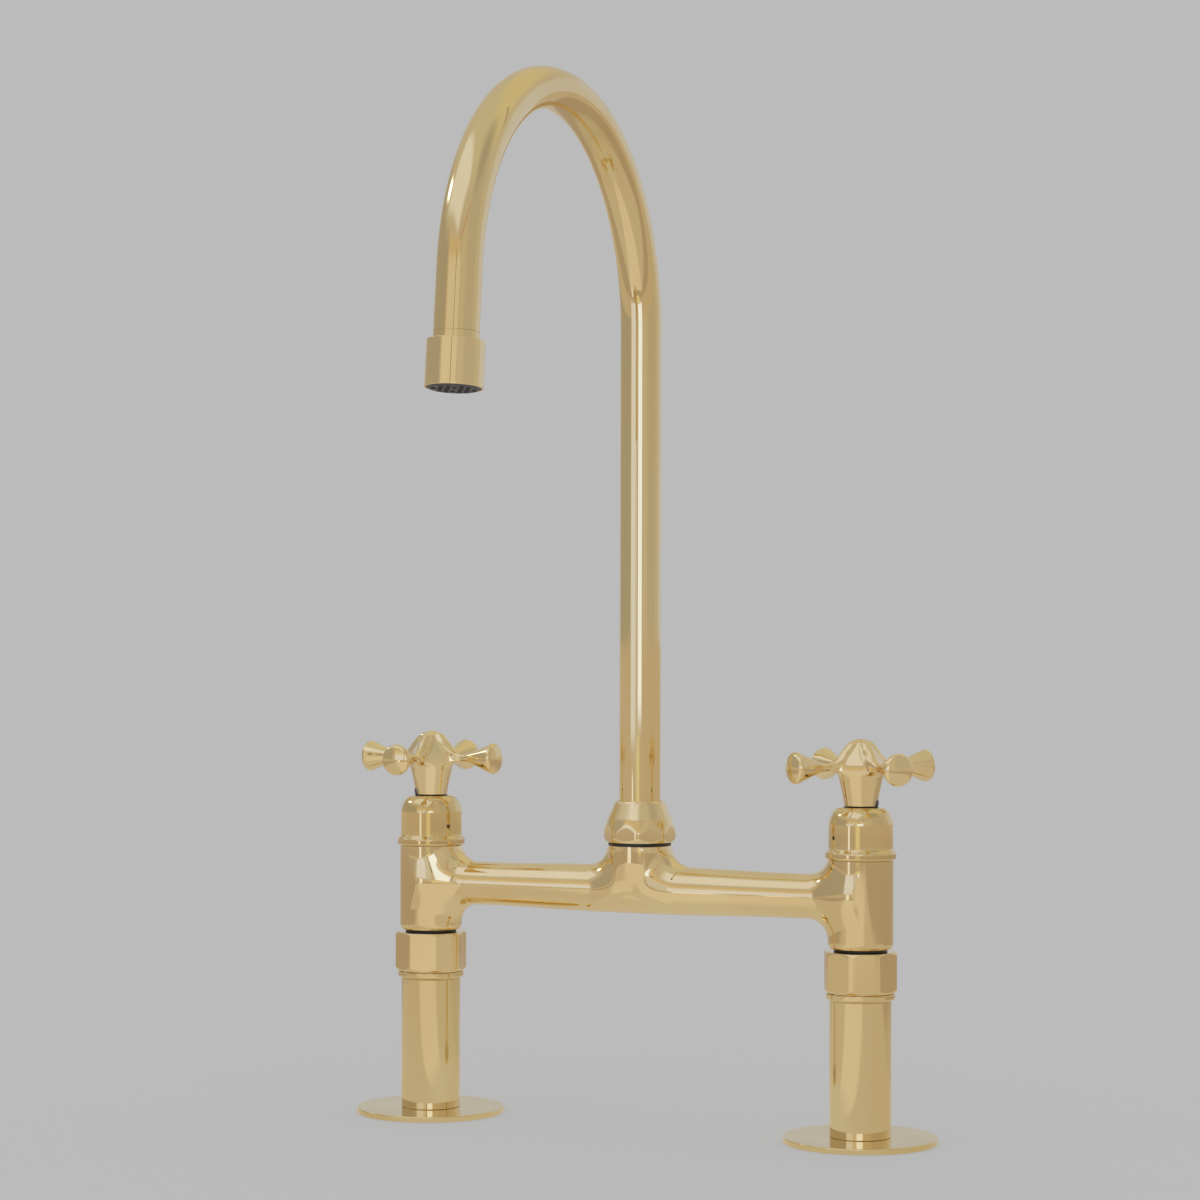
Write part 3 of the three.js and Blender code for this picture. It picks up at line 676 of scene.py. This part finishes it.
# %% Spout tube
SPOUT_RADIUS, SPOUT_WALL = 9.0, 1.1
SPOUT_FOOT, BEND_START, DROP_END = 113.5, 347.85, 331.75
BEND_RADIUS, BEND_ANGLE = 91.4, math.radians(174.3)
RISER_STEPS = [6.0, 100.0, 100.0, BEND_START - SPOUT_FOOT - 207.0, 1.0]
DROP_SHARES = [0.04, 0.46, 0.5]
bpy.ops.object.select_all(action="DESELECT")
bpy.ops.mesh.primitive_circle_add(
    vertices=96, radius=SPOUT_RADIUS / 1000, fill_type="NGON", location=place(0, 0, SPOUT_FOOT))
spout = just_added("spout_swan_neck")
bpy.ops.object.mode_set(mode="EDIT")
bpy.ops.mesh.select_all(action="SELECT")
bpy.ops.mesh.inset(thickness=SPOUT_WALL / 1000)
bpy.ops.mesh.delete(type="FACE")
bpy.ops.mesh.select_all(action="SELECT")
for rise in RISER_STEPS:
    bpy.ops.mesh.extrude_region_move(TRANSFORM_OT_translate={"value": (0, 0, rise / 1000)})
bpy.ops.mesh.spin(
    steps=144, angle=BEND_ANGLE, center=place(0, -BEND_RADIUS, BEND_START), axis=(-1, 0, 0))
bend_end = BEND_START + BEND_RADIUS * math.sin(BEND_ANGLE)
drop = (bend_end - DROP_END) / -math.cos(BEND_ANGLE)
drop_direction = Vector((0, -math.sin(BEND_ANGLE), math.cos(BEND_ANGLE)))
for share in DROP_SHARES:
    bpy.ops.mesh.extrude_region_move(
        TRANSFORM_OT_translate={"value": drop_direction * drop * share / 1000})
close_seams()
bpy.ops.object.mode_set(mode="OBJECT")
place_into_mesh()
polish()
seat(spout, "spout", ["spout_tube"], "polished_brass")
print("spout box", [[round(v, 4) for v in c] for c in (read_points(spout).min(0), read_points(spout).max(0))])

# %% [markdown]
# ## Outlet
#
# The tube ends in a short ring with the aerator screwed over it. They are turned upright at the riser and then
# moved as one to the end of the drop, where they lean with the tube.

# %% Move an upright piece to the outlet
OUTLET_TURN = BEND_ANGLE - math.pi
OUTLET = place(0, -(BEND_RADIUS * (1 - math.cos(BEND_ANGLE)) + drop * math.sin(BEND_ANGLE)), DROP_END)


def hang(piece):
    """Heights of the piece are counted from the tube's end, down the drop."""
    pose = (Matrix.Translation(OUTLET) @ Matrix.Rotation(OUTLET_TURN, 4, "X")
            @ Matrix.Translation(-place(0, 0, 0)))
    piece.data.transform(pose)
    piece.data.update()
    return piece


# %% Outlet ring and aerator sleeve
TIP = [(6.3, -11, 0), (9.8, -11, 0), (9.8, -2.85, 0), (9.0, -2.85, 0.1), (9.0, -0.03, 0.1), (7.5, -0.03, 0),
       (7.5, 7, 0), (6.3, 7, 0)]
SHELL_TOP, SHELL_LENGTH, SHELL_RECESS = -3.15, 18.5, 0.7
SHELL_FOOT = SHELL_TOP - SHELL_LENGTH
SHELL = [(10, SHELL_TOP - SHELL_RECESS, 0), (10.7, SHELL_TOP - SHELL_RECESS, 0), (10.7, SHELL_TOP, 0.1),
         (11.4, SHELL_TOP, 0.35), (11.45, SHELL_FOOT, 0.7), (10.6, SHELL_FOOT, 0.1), (10.6, -15.2, 0),
         (10, -15.2, 0)]
seat(hang(turned("outlet_tip", rounded(TIP))), "spout", ["spout_tip"], "polished_brass")
seat(hang(turned("aerator_sleeve", rounded(SHELL), 0, 160)), "spout", ["aerator_shell"], "cast_brass")

# %% [markdown]
# ## Aerator insert
#
# From below, the aerator is a dark plastic honeycomb. It starts as a turned disc, and rows of hexagonal sticks
# are cut out of its underside, so the holes are real.

# %% Aerator insert
INSERT_FOOT = SHELL_FOOT - 0.5
INSERT_TOP = INSERT_FOOT + 6.4
INSERT = [(0.0, INSERT_FOOT, 0), (9.4, INSERT_FOOT, 0), (10.35, INSERT_FOOT + 0.45, 0.3),
          (10.35, INSERT_TOP, 0), (0.0, INSERT_TOP, 0)]
insert = turned("aerator_insert_honeycomb", rounded(INSERT), 0, 96)
CELL_PITCH, CELL_RADIUS, CELL_ROWS = 3.0, 1.3, range(-3, 4)
FIRST_CELL, LAST_CELL = 1, 8.4
sticks = []
for row in CELL_ROWS:
    for column in CELL_ROWS:
        x = (column + (row % 2) / 2) * CELL_PITCH
        y = row * CELL_PITCH * math.sin(math.radians(60))
        if FIRST_CELL < math.hypot(x, y) < LAST_CELL:
            bpy.ops.mesh.primitive_cylinder_add(
                vertices=6, radius=CELL_RADIUS / 1000, depth=0.006, location=place(x, y, INSERT_FOOT + 0.2))
            sticks.append(bpy.context.object)
cutter = as_one("honeycomb_sticks", sticks)
only(insert)
holes = insert.modifiers.new("holes", "BOOLEAN")
holes.operation = "DIFFERENCE"
holes.object = cutter
bpy.ops.object.modifier_apply(modifier=holes.name)
bpy.data.objects.remove(cutter)
polish()
print("holes in the honeycomb:", len(sticks))
seat(hang(insert), "spout", ["aerator_insert"], "grey_plastic")

# %% [markdown]
# ## Cross handles
#
# Each handle is one casting. Below, a plain cone rises from the bonnet and sweeps out into four arms. Above, a
# crown with four ridges comes down from a blunt point, one ridge to each arm, with hollows between them. A
# crease runs from arm to arm where the two halves meet. The arms are thin at the waist and open like a bell.
#
# The formula needs the radius at each height, once along a ridge and once in a valley. Both were read off the
# photograph at a few heights, and a smooth curve runs through them. Heights start at the handle's foot.

# %% Smooth curve through points
def curve_through(stations, values):
    """A natural cubic curve, as a function."""
    x, y = np.array(stations, float), np.array(values, float)
    h = np.diff(x)
    count = len(x)
    system, target = np.eye(count), np.zeros(count)
    for i in range(1, count - 1):
        system[i, i - 1:i + 2] = h[i - 1], 2 * (h[i - 1] + h[i]), h[i]
        target[i] = 6 * ((y[i + 1] - y[i]) / h[i] - (y[i] - y[i - 1]) / h[i - 1])
    bend = np.linalg.solve(system, target)

    def curve(at):
        at = np.clip(at, x[0], x[-1])
        i = np.clip(np.searchsorted(x, at) - 1, 0, count - 2)
        a, b = x[i + 1] - at, at - x[i]
        return (bend[i] * a**3 + bend[i + 1] * b**3) / (6 * h[i]) + (
            y[i] / h[i] - bend[i] * h[i] / 6) * a + (y[i + 1] / h[i] - bend[i + 1] * h[i] / 6) * b

    return curve


# %% Handle outlines
ARM_HEIGHT, ARM_ROOT, ARM_REACH = 16.9, 9, 33.9
ARM_DOME, DOME_CURVE = 0.22, 34
HUB_TOP, CREASE = 28.9, 15.3
ridge_below = curve_through([0, 4, 8, 11, 12.8, 14.2, CREASE], [6.9, 7.55, 8.35, 9.05, 9.9, 11.6, 15.0])
valley_below = curve_through([0, 4, 8, 11, 13, CREASE], [6.9, 7.55, 8.35, 9.05, 9.45, 9.75])
ridge_above = curve_through([CREASE, 17, 18.6, 20.2, 22, 24, 26.2, 27.8, HUB_TOP],
                            [15.2, 15.4, 14.4, 12.3, 10.5, 8.9, 6.8, 4.6, 1.2])
valley_above = curve_through([CREASE, 17, 18.6, 20.2, 22, 24, 26.2, 27.8, HUB_TOP],
                             [9.75, 9.35, 8.75, 7.9, 6.8, 5.6, 4.2, 3.0, 0.9])
narrow = curve_through([0, 11, 13.5, CREASE, 18, 20, 22, 24, 27, HUB_TOP],
                       [2.0, 3.0, 5.0, 8.0, 7.0, 4.2, 2.8, 2.0, 1.2, 1.0])
bell = curve_through([10, 14, 16, 18.5, 21, 23.5, 26.2, 28.5, 30.4, 32.4, 35],
                     [1.5, 1.5, 1.6, 1.95, 2.75, 3.75, 4.85, 5.8, 6.55, 7.25, 7.8])
print("a ridge is widest at", round(float(ridge_above(np.linspace(CREASE, HUB_TOP, 50)).max()), 2), "mm")


# %% Handle form
def hub_form(x, y, z):
    """A ridge to each arm, valleys between them, and a squarer outline where the arms leave."""
    radius, angle = np.hypot(x, y), np.arctan2(y, x)
    lobe = np.clip((1 + np.cos(4 * angle)) / 2, 1e-9, 1) ** narrow(z)
    below = z < CREASE
    ridge = np.where(below, ridge_below(z), ridge_above(z))
    valley = np.where(below, valley_below(z), valley_above(z))
    squareness = 2 + 4 * smooth_step(z, 12.5, 17) * (1 - smooth_step(z, 22, 27))
    c, s = np.abs(np.cos(angle - np.pi / 4)), np.abs(np.sin(angle - np.pi / 4))
    flank = valley / (c**squareness + s**squareness) ** (1 / squareness)
    corner = valley * 2 ** (0.5 - 1 / squareness)
    hub = (radius - flank - np.maximum(ridge - corner, 0) * lobe) * 0.7
    return round_cut(round_cut(hub, -z, 0.35), z - HUB_TOP, 0.9)


def arms_form(x, y, z):
    """All four arms at once: out is the way along the nearest arm. The ends are slightly domed."""
    out = np.maximum(np.abs(x), np.abs(y))
    beside = np.minimum(np.abs(x), np.abs(y))
    off_axis = np.hypot(beside, z - ARM_HEIGHT)
    arm = (off_axis - bell(out)) * 0.93
    arm = round_cut(arm, out - (ARM_REACH + ARM_DOME - off_axis**2 / DOME_CURVE), 1.9)
    return np.maximum(arm, ARM_ROOT - out)


def handle_form(p):
    x, y, z = p.T
    return round_join(hub_form(x, y, z), arms_form(x, y, z), 1.0)


# %% Handle casting
HANDLE_FOOT = 142.35
ARM_RODS = [(0, 18, 2.4), (16, 27, 2.8), (25, 33.5, 5.6)]
handle_axis = np.array(place(0, 0, HANDLE_FOOT))
rods = [add_rod(8, 20, (0, 0, HANDLE_FOOT + 10)), add_rod(6, 12, (0, 0, HANDLE_FOOT + 20))]
for turn in range(4):
    a = turn * math.pi / 2
    for start, end, radius in ARM_RODS:
        out = (start + end) / 2
        middle = (out * math.cos(a), out * math.sin(a), HANDLE_FOOT + ARM_HEIGHT)
        rods.append(add_rod(radius, end - start, middle, (0, math.pi / 2, a)))
handle_master = as_one("handle_master", rods)
for voxel in (0.6, 0.33, 0.33):
    remesh(handle_master, voxel)
    worst = shrink_onto(handle_master, handle_form, handle_axis, 12)
print("handle points lie within", round(worst, 4), "mm of the form,", len(handle_master.data.polygons), "faces")

# %% Left and right handles
ARM_TURN = {"left": -3.2, "right": 48.0}
HANDLE_BODY = {"left": "hot_handle", "right": "cold_handle"}


def turned_form(x, turn):
    """The handle's form round another axis and at another turn, from the spout's axis at deck level."""
    c, s = math.cos(math.radians(turn)), math.sin(math.radians(turn))

    def form(p):
        dx, dy, dz = p[:, 0] - x, p[:, 1], p[:, 2] - HANDLE_FOOT
        return handle_form(np.stack([dx * c + dy * s, -dx * s + dy * c, dz], 1))

    return form


for side, x in COLUMNS.items():
    handle = handle_master.copy()
    handle.data = handle_master.data.copy()
    handle.name = handle.data.name = f"cross_handle_{side}"
    bpy.context.collection.objects.link(handle)
    pose = (Matrix.Translation(place(x, 0, HANDLE_FOOT)) @ Matrix.Rotation(math.radians(ARM_TURN[side]), 4, "Z")
            @ Matrix.Translation(-place(0, 0, HANDLE_FOOT)))
    handle.data.transform(pose)
    shade_from(handle, turned_form(x, ARM_TURN[side]), origin)
    seat(handle, HANDLE_BODY[side], [f"{side}_handle"], "cast_brass")
bpy.data.objects.remove(handle_master)

# %% [markdown]
# ## Grub screws
#
# A small steel screw locks each handle on its spindle. Only its end shows, low on the hub, with a small socket.
# It is made upright, the socket is inset and pushed in, and then it is laid into the hub, facing sideways.

# %% Grub screws
SCREW_TURN = {"left": -138.2, "right": 3.0}
SCREW_HEIGHT, SCREW_MIDDLE = 144.0, 5.7
SCREW_RADIUS, SCREW_LENGTH, SCREW_EDGE = 1.6, 3.6, 0.18
SOCKET_RIM, SOCKET_DEPTH = 0.7, 1.2
for side, x in COLUMNS.items():
    bpy.ops.object.select_all(action="DESELECT")
    bpy.ops.mesh.primitive_cylinder_add(
        vertices=48, radius=SCREW_RADIUS / 1000, depth=SCREW_LENGTH / 1000,
        location=(0, 0, SCREW_MIDDLE / 1000))
    screw = just_added(f"grub_screw_{side}")
    place_into_mesh()
    bpy.ops.object.mode_set(mode="EDIT")
    bpy.ops.mesh.select_mode(type="FACE")
    bpy.ops.mesh.select_all(action="DESELECT")
    bpy.ops.object.mode_set(mode="OBJECT")
    for face in screw.data.polygons:
        face.select = face.normal.z > 0.9
    bpy.ops.object.mode_set(mode="EDIT")
    bpy.ops.mesh.inset(thickness=SOCKET_RIM / 1000)
    bpy.ops.mesh.extrude_region_move(TRANSFORM_OT_translate={"value": (0, 0, -SOCKET_DEPTH / 1000)})
    bpy.ops.object.mode_set(mode="OBJECT")
    edge = screw.modifiers.new("edge", "BEVEL")
    edge.width = SCREW_EDGE / 1000
    edge.segments = 3
    bpy.ops.object.modifier_apply(modifier=edge.name)
    turn = math.radians(SCREW_TURN[side])
    screw.data.transform(Matrix.Translation(place(x, 0, SCREW_HEIGHT)) @ Matrix.Rotation(turn, 4, "Z")
                         @ Matrix.Rotation(math.pi / 2, 4, "Y"))
    polish()
    seat(screw, HANDLE_BODY[side], [f"{side}_grub_screw"], "dark_steel")

# %% [markdown]
# ## The room
#
# Polished brass shows the room and hardly itself. The photograph's grey backdrop is plain, but the tap mirrors
# a table top, darker walls, two windows in front of it and a large soft lamp overhead. So the camera sees one
# even grey, matt surfaces get even white light, and only mirror reflections see the room that is painted here.
#
# Directions are given as the camera sees them: azimuth 0 points back at the camera and 90 to its right.

# %% Painting helpers
BACKDROP = (0.497, 0.497, 0.497)
COLOUR_INPUTS, COLOUR_OUTPUT = (6, 7), 2


def mix_colours(tree, share, *ends):
    """The first end where share is 0 and the second where it is 1. Each is a colour or a socket."""
    mix = tree.nodes.new("ShaderNodeMix")
    mix.data_type = "RGBA"
    colours = [(*end, 1) if isinstance(end, tuple) else end for end in ends]
    set_inputs(tree, mix, {0: share, **dict(zip(COLOUR_INPUTS, colours))})
    return mix.outputs[COLOUR_OUTPUT]


def step_down(tree, value, start, end):
    """1 below start, 0 above end, smooth between."""
    step = tree.nodes.new("ShaderNodeMapRange")
    step.interpolation_type = "SMOOTHSTEP"
    set_inputs(tree, step, {"Value": value, "From Min": start, "From Max": end, "To Min": 1, "To Max": 0})
    return step.outputs["Result"]


def do_math(tree, operation, *values):
    node = tree.nodes.new("ShaderNodeMath")
    node.operation = operation
    return set_inputs(tree, node, dict(enumerate(values))).outputs[0]


def seen_direction(tree, vector):
    """Azimuth and elevation in degrees of a direction, as the camera sees them."""
    towards = tree.nodes.new("ShaderNodeVectorRotate")
    towards.rotation_type = "Z_AXIS"
    set_inputs(tree, towards, {"Vector": vector, "Angle": -CAMERA_AZIMUTH})
    part = add_node(tree, "SeparateXYZ", {0: towards.outputs["Vector"]})
    backwards = do_math(tree, "MULTIPLY", part.outputs["Y"], -1.0)
    azimuth = do_math(tree, "DEGREES", do_math(tree, "ARCTAN2", part.outputs["X"], backwards))
    return azimuth, do_math(tree, "DEGREES", do_math(tree, "ARCSINE", part.outputs["Z"]))


# %% [markdown]
# ### Floor
#
# The floor shows the camera the backdrop's grey and takes a slight shadow. Mirrors see a table top and the
# room's floor beyond it. The paint goes by place: the table is a rectangle, it is paler close to the tap,
# towards the left window it carries a painted reflection of that window, and the room's floor changes with the
# distance.

# %% Floor
FLOOR_SIZE, FLOOR_DROP = 40, 0.0002
bpy.ops.object.select_all(action="DESELECT")
bpy.ops.mesh.primitive_plane_add(size=FLOOR_SIZE, location=(0, 0, -FLOOR_DROP))
floor = bpy.context.object
floor.name = "studio_floor"
floor_paint = bpy.data.materials.new("studio_floor_paint")
floor_paint.use_nodes = True
tree = floor_paint.node_tree
tree.nodes.clear()
print("floor", FLOOR_SIZE, "m wide,", FLOOR_DROP * 1000, "mm under the tap")

# %% Places on the floor
TABLE_X, TABLE_Y = 0.14, -0.45
TABLE_EDGE_X, TABLE_EDGE_Y = (0.73, 0.79), (0.67, 0.73)
# The left window's painted reflection on the table lies round the azimuth WINDOW_SIDE and fades out across
# WINDOW_EDGE.
WINDOW_SIDE, WINDOW_EDGE = -20.0, (27.0, 38.0)
where = add_node(tree, "TexCoord")
spot = add_node(tree, "SeparateXYZ", {0: where.outputs["Object"]})
off_x = do_math(tree, "ABSOLUTE", do_math(tree, "SUBTRACT", spot.outputs["X"], TABLE_X))
off_y = do_math(tree, "ABSOLUTE", do_math(tree, "SUBTRACT", spot.outputs["Y"], TABLE_Y))
on_table = do_math(
    tree, "MULTIPLY", step_down(tree, off_x, *TABLE_EDGE_X), step_down(tree, off_y, *TABLE_EDGE_Y))
from_tap = tree.nodes.new("ShaderNodeVectorMath")
from_tap.operation = "SUBTRACT"
set_inputs(tree, from_tap, {0: where.outputs["Object"], 1: place(0, 0, 0)})
away = tree.nodes.new("ShaderNodeVectorMath")
away.operation = "LENGTH"
distance = set_inputs(tree, away, {0: from_tap.outputs[0]}).outputs["Value"]
floor_azimuth = seen_direction(tree, from_tap.outputs[0])[0]
off_window = do_math(tree, "ABSOLUTE", do_math(tree, "SUBTRACT", floor_azimuth, WINDOW_SIDE))
window_reflection_share = step_down(tree, off_window, *WINDOW_EDGE)

# %% Floor as mirrors see it
# The lighter table colour towards the left window is a painted reflection of that window on the table top.
TABLE, TABLE_NEAR, TABLE_WINDOW_REFLECTION = (0.57, 0.52, 0.45), (0.60, 0.57, 0.52), (0.70, 0.65, 0.59)
ROOM, ROOM_NEAR, ROOM_FAR = (0.44, 0.375, 0.31), (0.53, 0.49, 0.42), (0.55, 0.48, 0.40)
BY_THE_TAP, NEAR_ROOM, FAR_ROOM = (0.05, 0.16), (0.35, 0.65), (1.65, 2.05)
# Paint the left window's reflection onto the table, then the paler colour close to the tap.
table = mix_colours(tree, window_reflection_share, TABLE, TABLE_WINDOW_REFLECTION)
table = mix_colours(tree, step_down(tree, distance, *BY_THE_TAP), table, TABLE_NEAR)
around = mix_colours(tree, step_down(tree, distance, *NEAR_ROOM), ROOM, ROOM_NEAR)
around = mix_colours(tree, step_down(tree, distance, *FAR_ROOM), ROOM_FAR, around)
reflected = mix_colours(tree, on_table, around, table)
glow = add_node(tree, "Emission", {"Color": reflected})

# %% Floor as the camera sees it
SHADOW_SHARE = 0.3
flat = add_node(tree, "Emission", {"Color": (*BACKDROP, 1)})
matt = add_node(tree, "BsdfDiffuse", {"Color": (*BACKDROP, 1)})
seen = add_node(tree, "MixShader", {0: SHADOW_SHARE, 1: flat.outputs[0], 2: matt.outputs[0]})
for_mirrors = add_node(tree, "LightPath").outputs["Is Glossy Ray"]
either = add_node(tree, "MixShader", {0: for_mirrors, 1: seen.outputs[0], 2: glow.outputs[0]})
add_node(tree, "OutputMaterial", {"Surface": either.outputs[0]})
floor.data.materials.append(floor_paint)
print("the floor's paint has", len(tree.nodes), "nodes")

# %% [markdown]
# ### Walls and ceiling
#
# These are far away, so every piece sees them in the same direction. They are painted into the world as soft
# rectangles of azimuth and elevation, each over the ones before it.

# %% Walls and ceiling
# azimuth, elevation, half width, half height, softness, tilt, colour
WALLS = [
    (0, 80, 180, 28, 14, 0, (0.58, 0.56, 0.48)),
    (130, 54, 48, 18, 8, 0, (0.64, 0.59, 0.43)),
    (65, 48, 20, 16, 14, 0, (0.41, 0.39, 0.35)),
    (40, 12, 48, 22, 6, 0, (0.51, 0.47, 0.42)),
    (22, 4, 14, 28, 10, 0, (0.57, 0.53, 0.45)),
    (0.5, -2, 2.5, 5, 0.8, 0, (0.22, 0.18, 0.12)),
    (-30, 21, 34, 7, 4, 0, (0.64, 0.53, 0.38)),
    (-22, 13, 30, 7, 3, 0, (0.68, 0.64, 0.57)),
    (-13, 15, 1.2, 8, 0.6, 0, (0.3, 0.24, 0.17)),
    (-106, 6, 48, 20, 6, 0, (0.415, 0.39, 0.35)),
    (161, 8, 48, 17, 5, 0, (0.60, 0.61, 0.68)),
    (180, 10, 26, 19, 4, 0, (0.53, 0.54, 0.54)),
    (-113, 31, 9, 3, 2, 0.3, (2.2, 2.6, 3.4)),
    (18, 32, 18, 0.8, 1, 0.26, (0.55, 0.3, 0.18)),
    (104, 40, 0.8, 9, 1.2, 0, (0.3, 0.27, 0.22)),
]
WALL_COLOUR = (0.55, 0.52, 0.46)
world = bpy.data.worlds.new("studio_room")
bpy.context.scene.world = world
world.use_nodes = True
tree = world.node_tree
tree.nodes.clear()
direction = add_node(tree, "TexCoord")
azimuth, elevation = seen_direction(tree, direction.outputs["Generated"])
room = WALL_COLOUR
for az, el, half_width, half_height, soft, tilt, colour in WALLS:
    turned_by = do_math(tree, "WRAP", do_math(tree, "SUBTRACT", azimuth, az), 180.0, -180.0)
    raised_by = do_math(tree, "SUBTRACT", do_math(tree, "SUBTRACT", elevation, el),
                        do_math(tree, "MULTIPLY", turned_by, tilt))
    inside = do_math(
        tree, "MULTIPLY",
        step_down(tree, do_math(tree, "ABSOLUTE", turned_by), half_width - soft, half_width + soft),
        step_down(tree, do_math(tree, "ABSOLUTE", raised_by), half_height - soft, half_height + soft))
    room = mix_colours(tree, inside, room, colour)
path = add_node(tree, "LightPath")
for_matt = mix_colours(tree, path.outputs["Is Glossy Ray"], (1.0, 1.0, 1.0), room)
for_all = mix_colours(tree, path.outputs["Is Camera Ray"], for_matt, BACKDROP)
background = add_node(tree, "Background", {"Color": for_all})
add_node(tree, "OutputWorld", {"Surface": background.outputs[0]})
print("painted", len(WALLS), "patches on walls and ceiling")

# %% [markdown]
# ### Windows and lamp
#
# These stand close enough that the legs, the bridge and the arch see them in different places, so they are real
# panels. Each glows evenly and fades out at its rim, and only mirrors see it.

# %% Glow that fades at the rim
def glowing(name, colour, rim):
    """A glow for a panel that reaches from -1 to 1. The outer share rim fades out."""
    material = bpy.data.materials.new(name)
    material.use_nodes = True
    tree = material.node_tree
    tree.nodes.clear()
    where = add_node(tree, "TexCoord")
    split = add_node(tree, "SeparateXYZ", {0: where.outputs["Object"]})
    inside = [step_down(tree, do_math(tree, "ABSOLUTE", split.outputs[axis]), 1 - rim, 1.0) for axis in "XY"]
    share = do_math(tree, "MULTIPLY", *inside)
    light = add_node(tree, "Emission", {"Color": (*colour, 1)})
    clear = add_node(tree, "BsdfTransparent")
    fade = add_node(tree, "MixShader", {0: share, 1: clear.outputs[0], 2: light.outputs[0]})
    add_node(tree, "OutputMaterial", {"Surface": fade.outputs[0]})
    return material


# %% Glowing panels
def hang_panel(name, azimuth, distance, bottom, top, half_width, colour, rim, near=(0, 0, 0), lean=0.0):
    """A glowing panel that faces the tap. Millimetres; near is the point it is hung round, lean tips it."""
    a = math.radians(azimuth)
    out = level_right * math.sin(a) - Vector((look.x, look.y, 0)).normalized() * math.cos(a)
    side = Vector((0, 0, 1)).cross(out)
    rise = Vector((0, 0, 1)) * math.cos(lean) - out * math.sin(lean)
    middle = place(*near) + (out * distance + Vector((0, 0, (bottom + top) / 2))) / 1000
    bpy.ops.object.select_all(action="DESELECT")
    bpy.ops.mesh.primitive_plane_add(size=2, location=middle)
    panel = just_added(name)
    panel.rotation_euler = Matrix((side, rise, side.cross(rise))).transposed().to_euler()
    panel.scale = (half_width / 1000, (top - bottom) / 2000, 1)
    panel.data.materials.append(glowing(name + "_glow", colour, rim))
    panel.visible_camera = panel.visible_diffuse = panel.visible_shadow = False
    print(name, "hangs at", [round(v, 2) for v in middle])


hang_panel("left_window", -41.5, 1600, 88, 520, 384, (0.74, 0.79, 1.0), 0.12)
hang_panel("window_gap", -43, 1250, 1, 94, 85, (0.92, 0.97, 1.15), 0.15)
hang_panel("front_window", -3.5, 1500, 110, 545, 305, (0.98, 1.13, 1.6), 0.16)
hang_panel("window_sill", -12, 1520, 2, 112, 215, (0.74, 0.69, 0.48), 0.1)
hang_panel("window_post", -24, 1600, 30, 600, 110, (0.62, 0.63, 0.68), 0.3)
hang_panel("lamp_over_spout", -54, 1800, 1150, 3600, 2500, (0.76, 0.79, 0.93), 0.4,
           near=(0, -90, 420), lean=math.radians(55))

# %% [markdown]
# ## View
#
# The colours above are meant as they are shown, so the view transform is the plain one.

# %% View settings
bpy.context.scene.view_settings.view_transform = "Standard"
